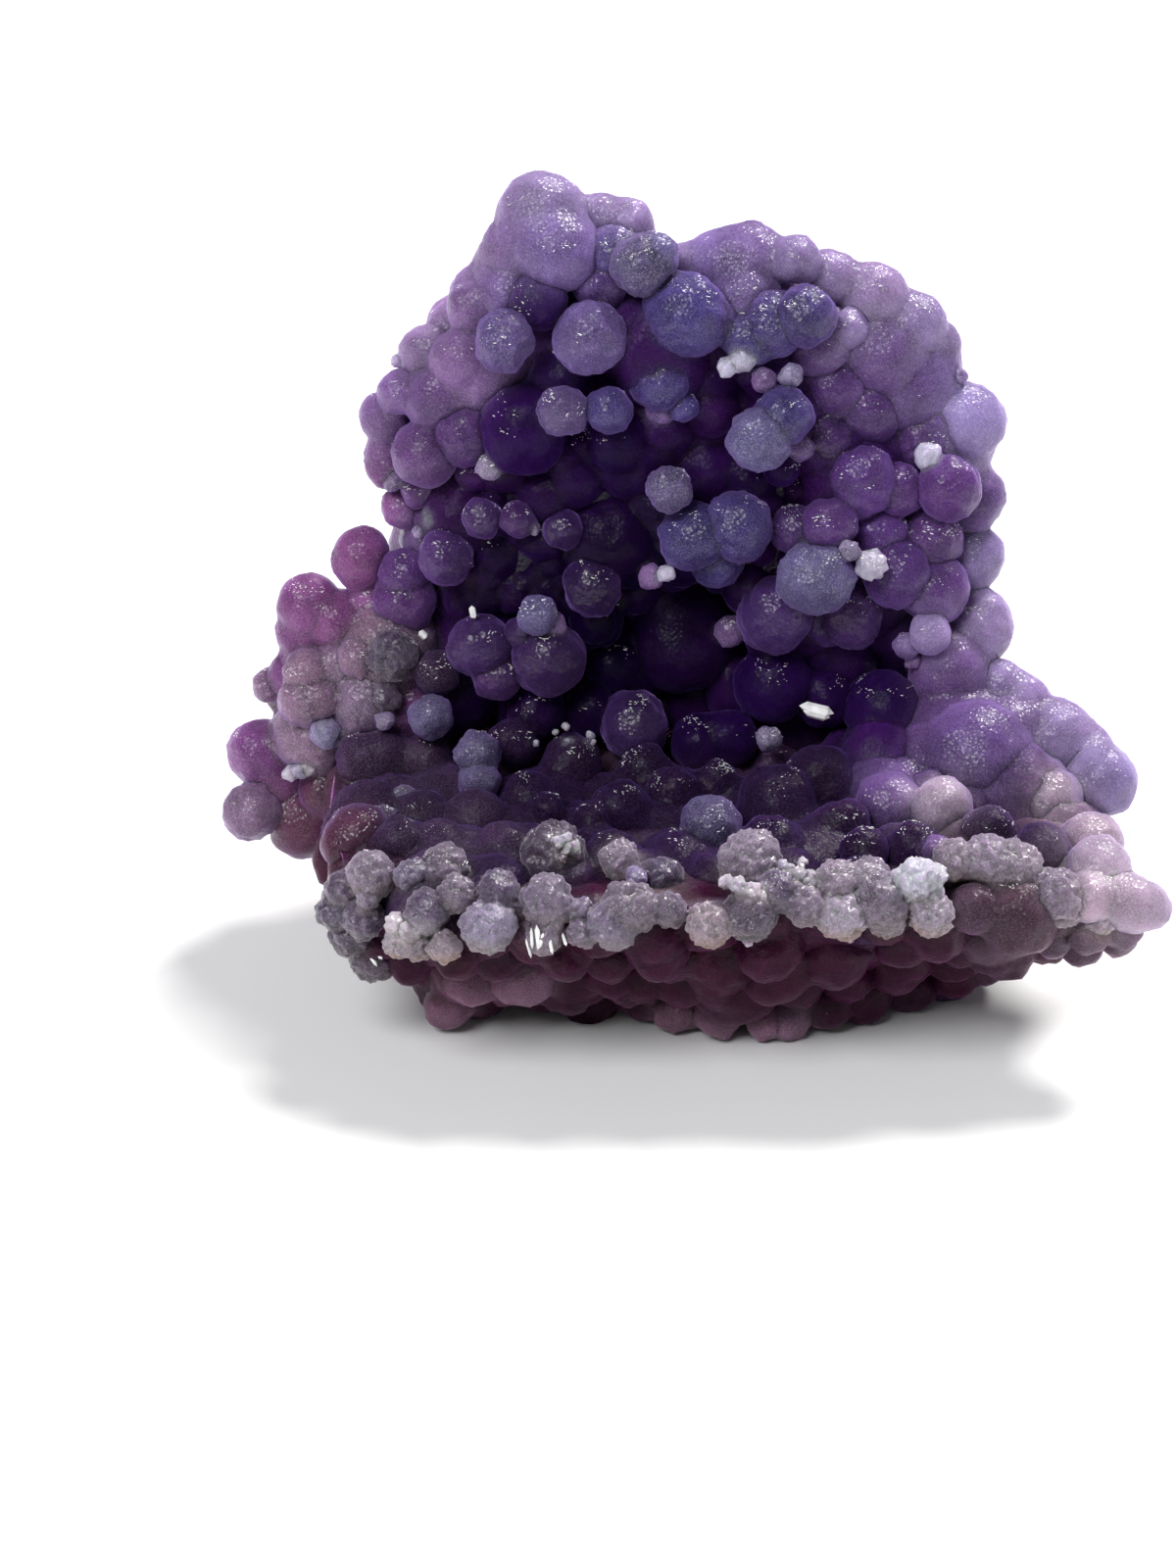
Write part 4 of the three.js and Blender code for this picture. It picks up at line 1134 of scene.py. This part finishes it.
# What the stone's material is like in each piece, where that isn't what stone_material says.
MATERIALS = {
    "chalcedony_surface": dict(edge="B898E8", gloss=0.1, sheen=0.5, frost=0.7),
    "bright_lumps": dict(edge="B088E8", gloss=0.08, sheen=0.45, depth=1.4, frost=0.7),
    "deep_lumps": dict(edge="8A68D0", coat=0.05, rough=0.05),
    "rim_crust": dict(edge="CFC8D6", gloss=0.2, coat=0.4, sheen=0.6, depth=0.9, rough=0.08),
    "plum_foot": dict(edge="9A5A98", coat=0.12, depth=2.0, frost=0.4, rough=0.04),
}
# The colour of the pale druse.
DRUSE = "A9A3B4"


def stone_colour(look, tint, frost):
    """The lumps' colours, cloudy and finely grained, with the druse's own colour on the grains."""
    clouds = look.ranged(look.noise(2.4, 3), 0.3, 0.7, 0.75, 1.25)
    colour = look.times(tint.outputs["Color"], clouds)
    grain = look.ranged(look.noise(0.11, 3), 0.46, 0.72)
    pale = look.math("MULTIPLY", grain, look.math("MULTIPLY", tint.outputs["Alpha"], frost))
    colour = look.times(colour, look.ranged(grain, 0, 1, 0.94, 1.4))
    return look.mixed(pale, colour, (*linear(DRUSE), 1))


def stone_material(name, edge, gloss=0.04, coat=0.35, sheen=0.2, depth=1.6, frost=0.5, rough=0.06):
    """Violet chalcedony: translucent, waxy, mottled and finely sugary.

    It has a pale sheen of the edge's colour, light goes depth millimetres deep, frost is how white its
    sugary grain is, and rough is how high in millimetres its crystals stand.
    """
    look = Look(name)
    tint = look.add("ShaderNodeAttribute", {}, attribute_name="tint")
    height = look.math("MULTIPLY", look.ranged(tint.outputs["Alpha"], 0, 1, 0.25, 1), rough * MM)
    normal = look.bumps([(look.noise(0.9, 3), 0.09), (look.cells(0.22), 0.025)])
    crystals = {"Height": look.cells(0.45), "Distance": height, "Strength": 1.0, "Normal": normal}
    return look.finish(
        base_color=stone_colour(look, tint, frost),
        roughness=look.ranged(look.noise(0.8), 0.35, 0.65, 0.3, 0.46),
        normal=look.add("ShaderNodeBump", crystals).outputs["Normal"],
        ior=1.54,
        specular_ior_level=gloss,
        subsurface_weight=1.0,
        subsurface_radius=(1.2, 0.7, 1.3),
        subsurface_scale=depth * MM,
        sheen_weight=sheen,
        sheen_roughness=0.42,
        sheen_tint=(*linear(edge), 1),
        coat_weight=coat,
        coat_roughness=0.14,
        coat_normal=look.bumps([(look.cells(0.3), 0.075)]),
    )


def add_floor():
    """A plain pale floor."""
    corners = [[FLOOR_REACH * x, FLOOR_REACH * y, 0] for x, y in ((-1, -1), (1, -1), (1, 1), (-1, 1))]
    floor = mesh_object("floor", corners, [[0, 1, 2, 3]])
    look = Look("pale_floor")
    shade = look.ranged(look.noise(40), 0.3, 0.7, 0.84, 0.86)
    floor.data.materials.append(look.finish(base_color=shade, roughness=0.7))


def add_studio():
    """A plain white room and two soft lights: one from behind on the right, one from the front left."""
    add_light("key", place=(0.2, 0.22, 0.5), spread=20, strength=4.3, colour=(1, 0.98, 0.96))
    add_light("fill", place=(-0.22, -0.36, 0.5), spread=30, strength=2.7, colour=(0.97, 0.98, 1))
    world = bpy.data.worlds.new("studio")
    bpy.context.scene.world = world
    world.use_nodes = True
    background = world.node_tree.nodes["Background"].inputs
    background["Color"].default_value = (1, 1, 1, 1)
    background["Strength"].default_value = 0.2
    bpy.context.scene.view_settings.view_transform = "Standard"


def main():
    """Loads the part and puts the fine pieces in its place."""
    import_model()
    add_camera()
    lumps, bodies = all_lumps()
    for name in FINENESS:
        make_piece(name, lumps, bodies)
    add_glints_and_needles(lumps, bodies)
    add_floor()
    add_studio()


main()
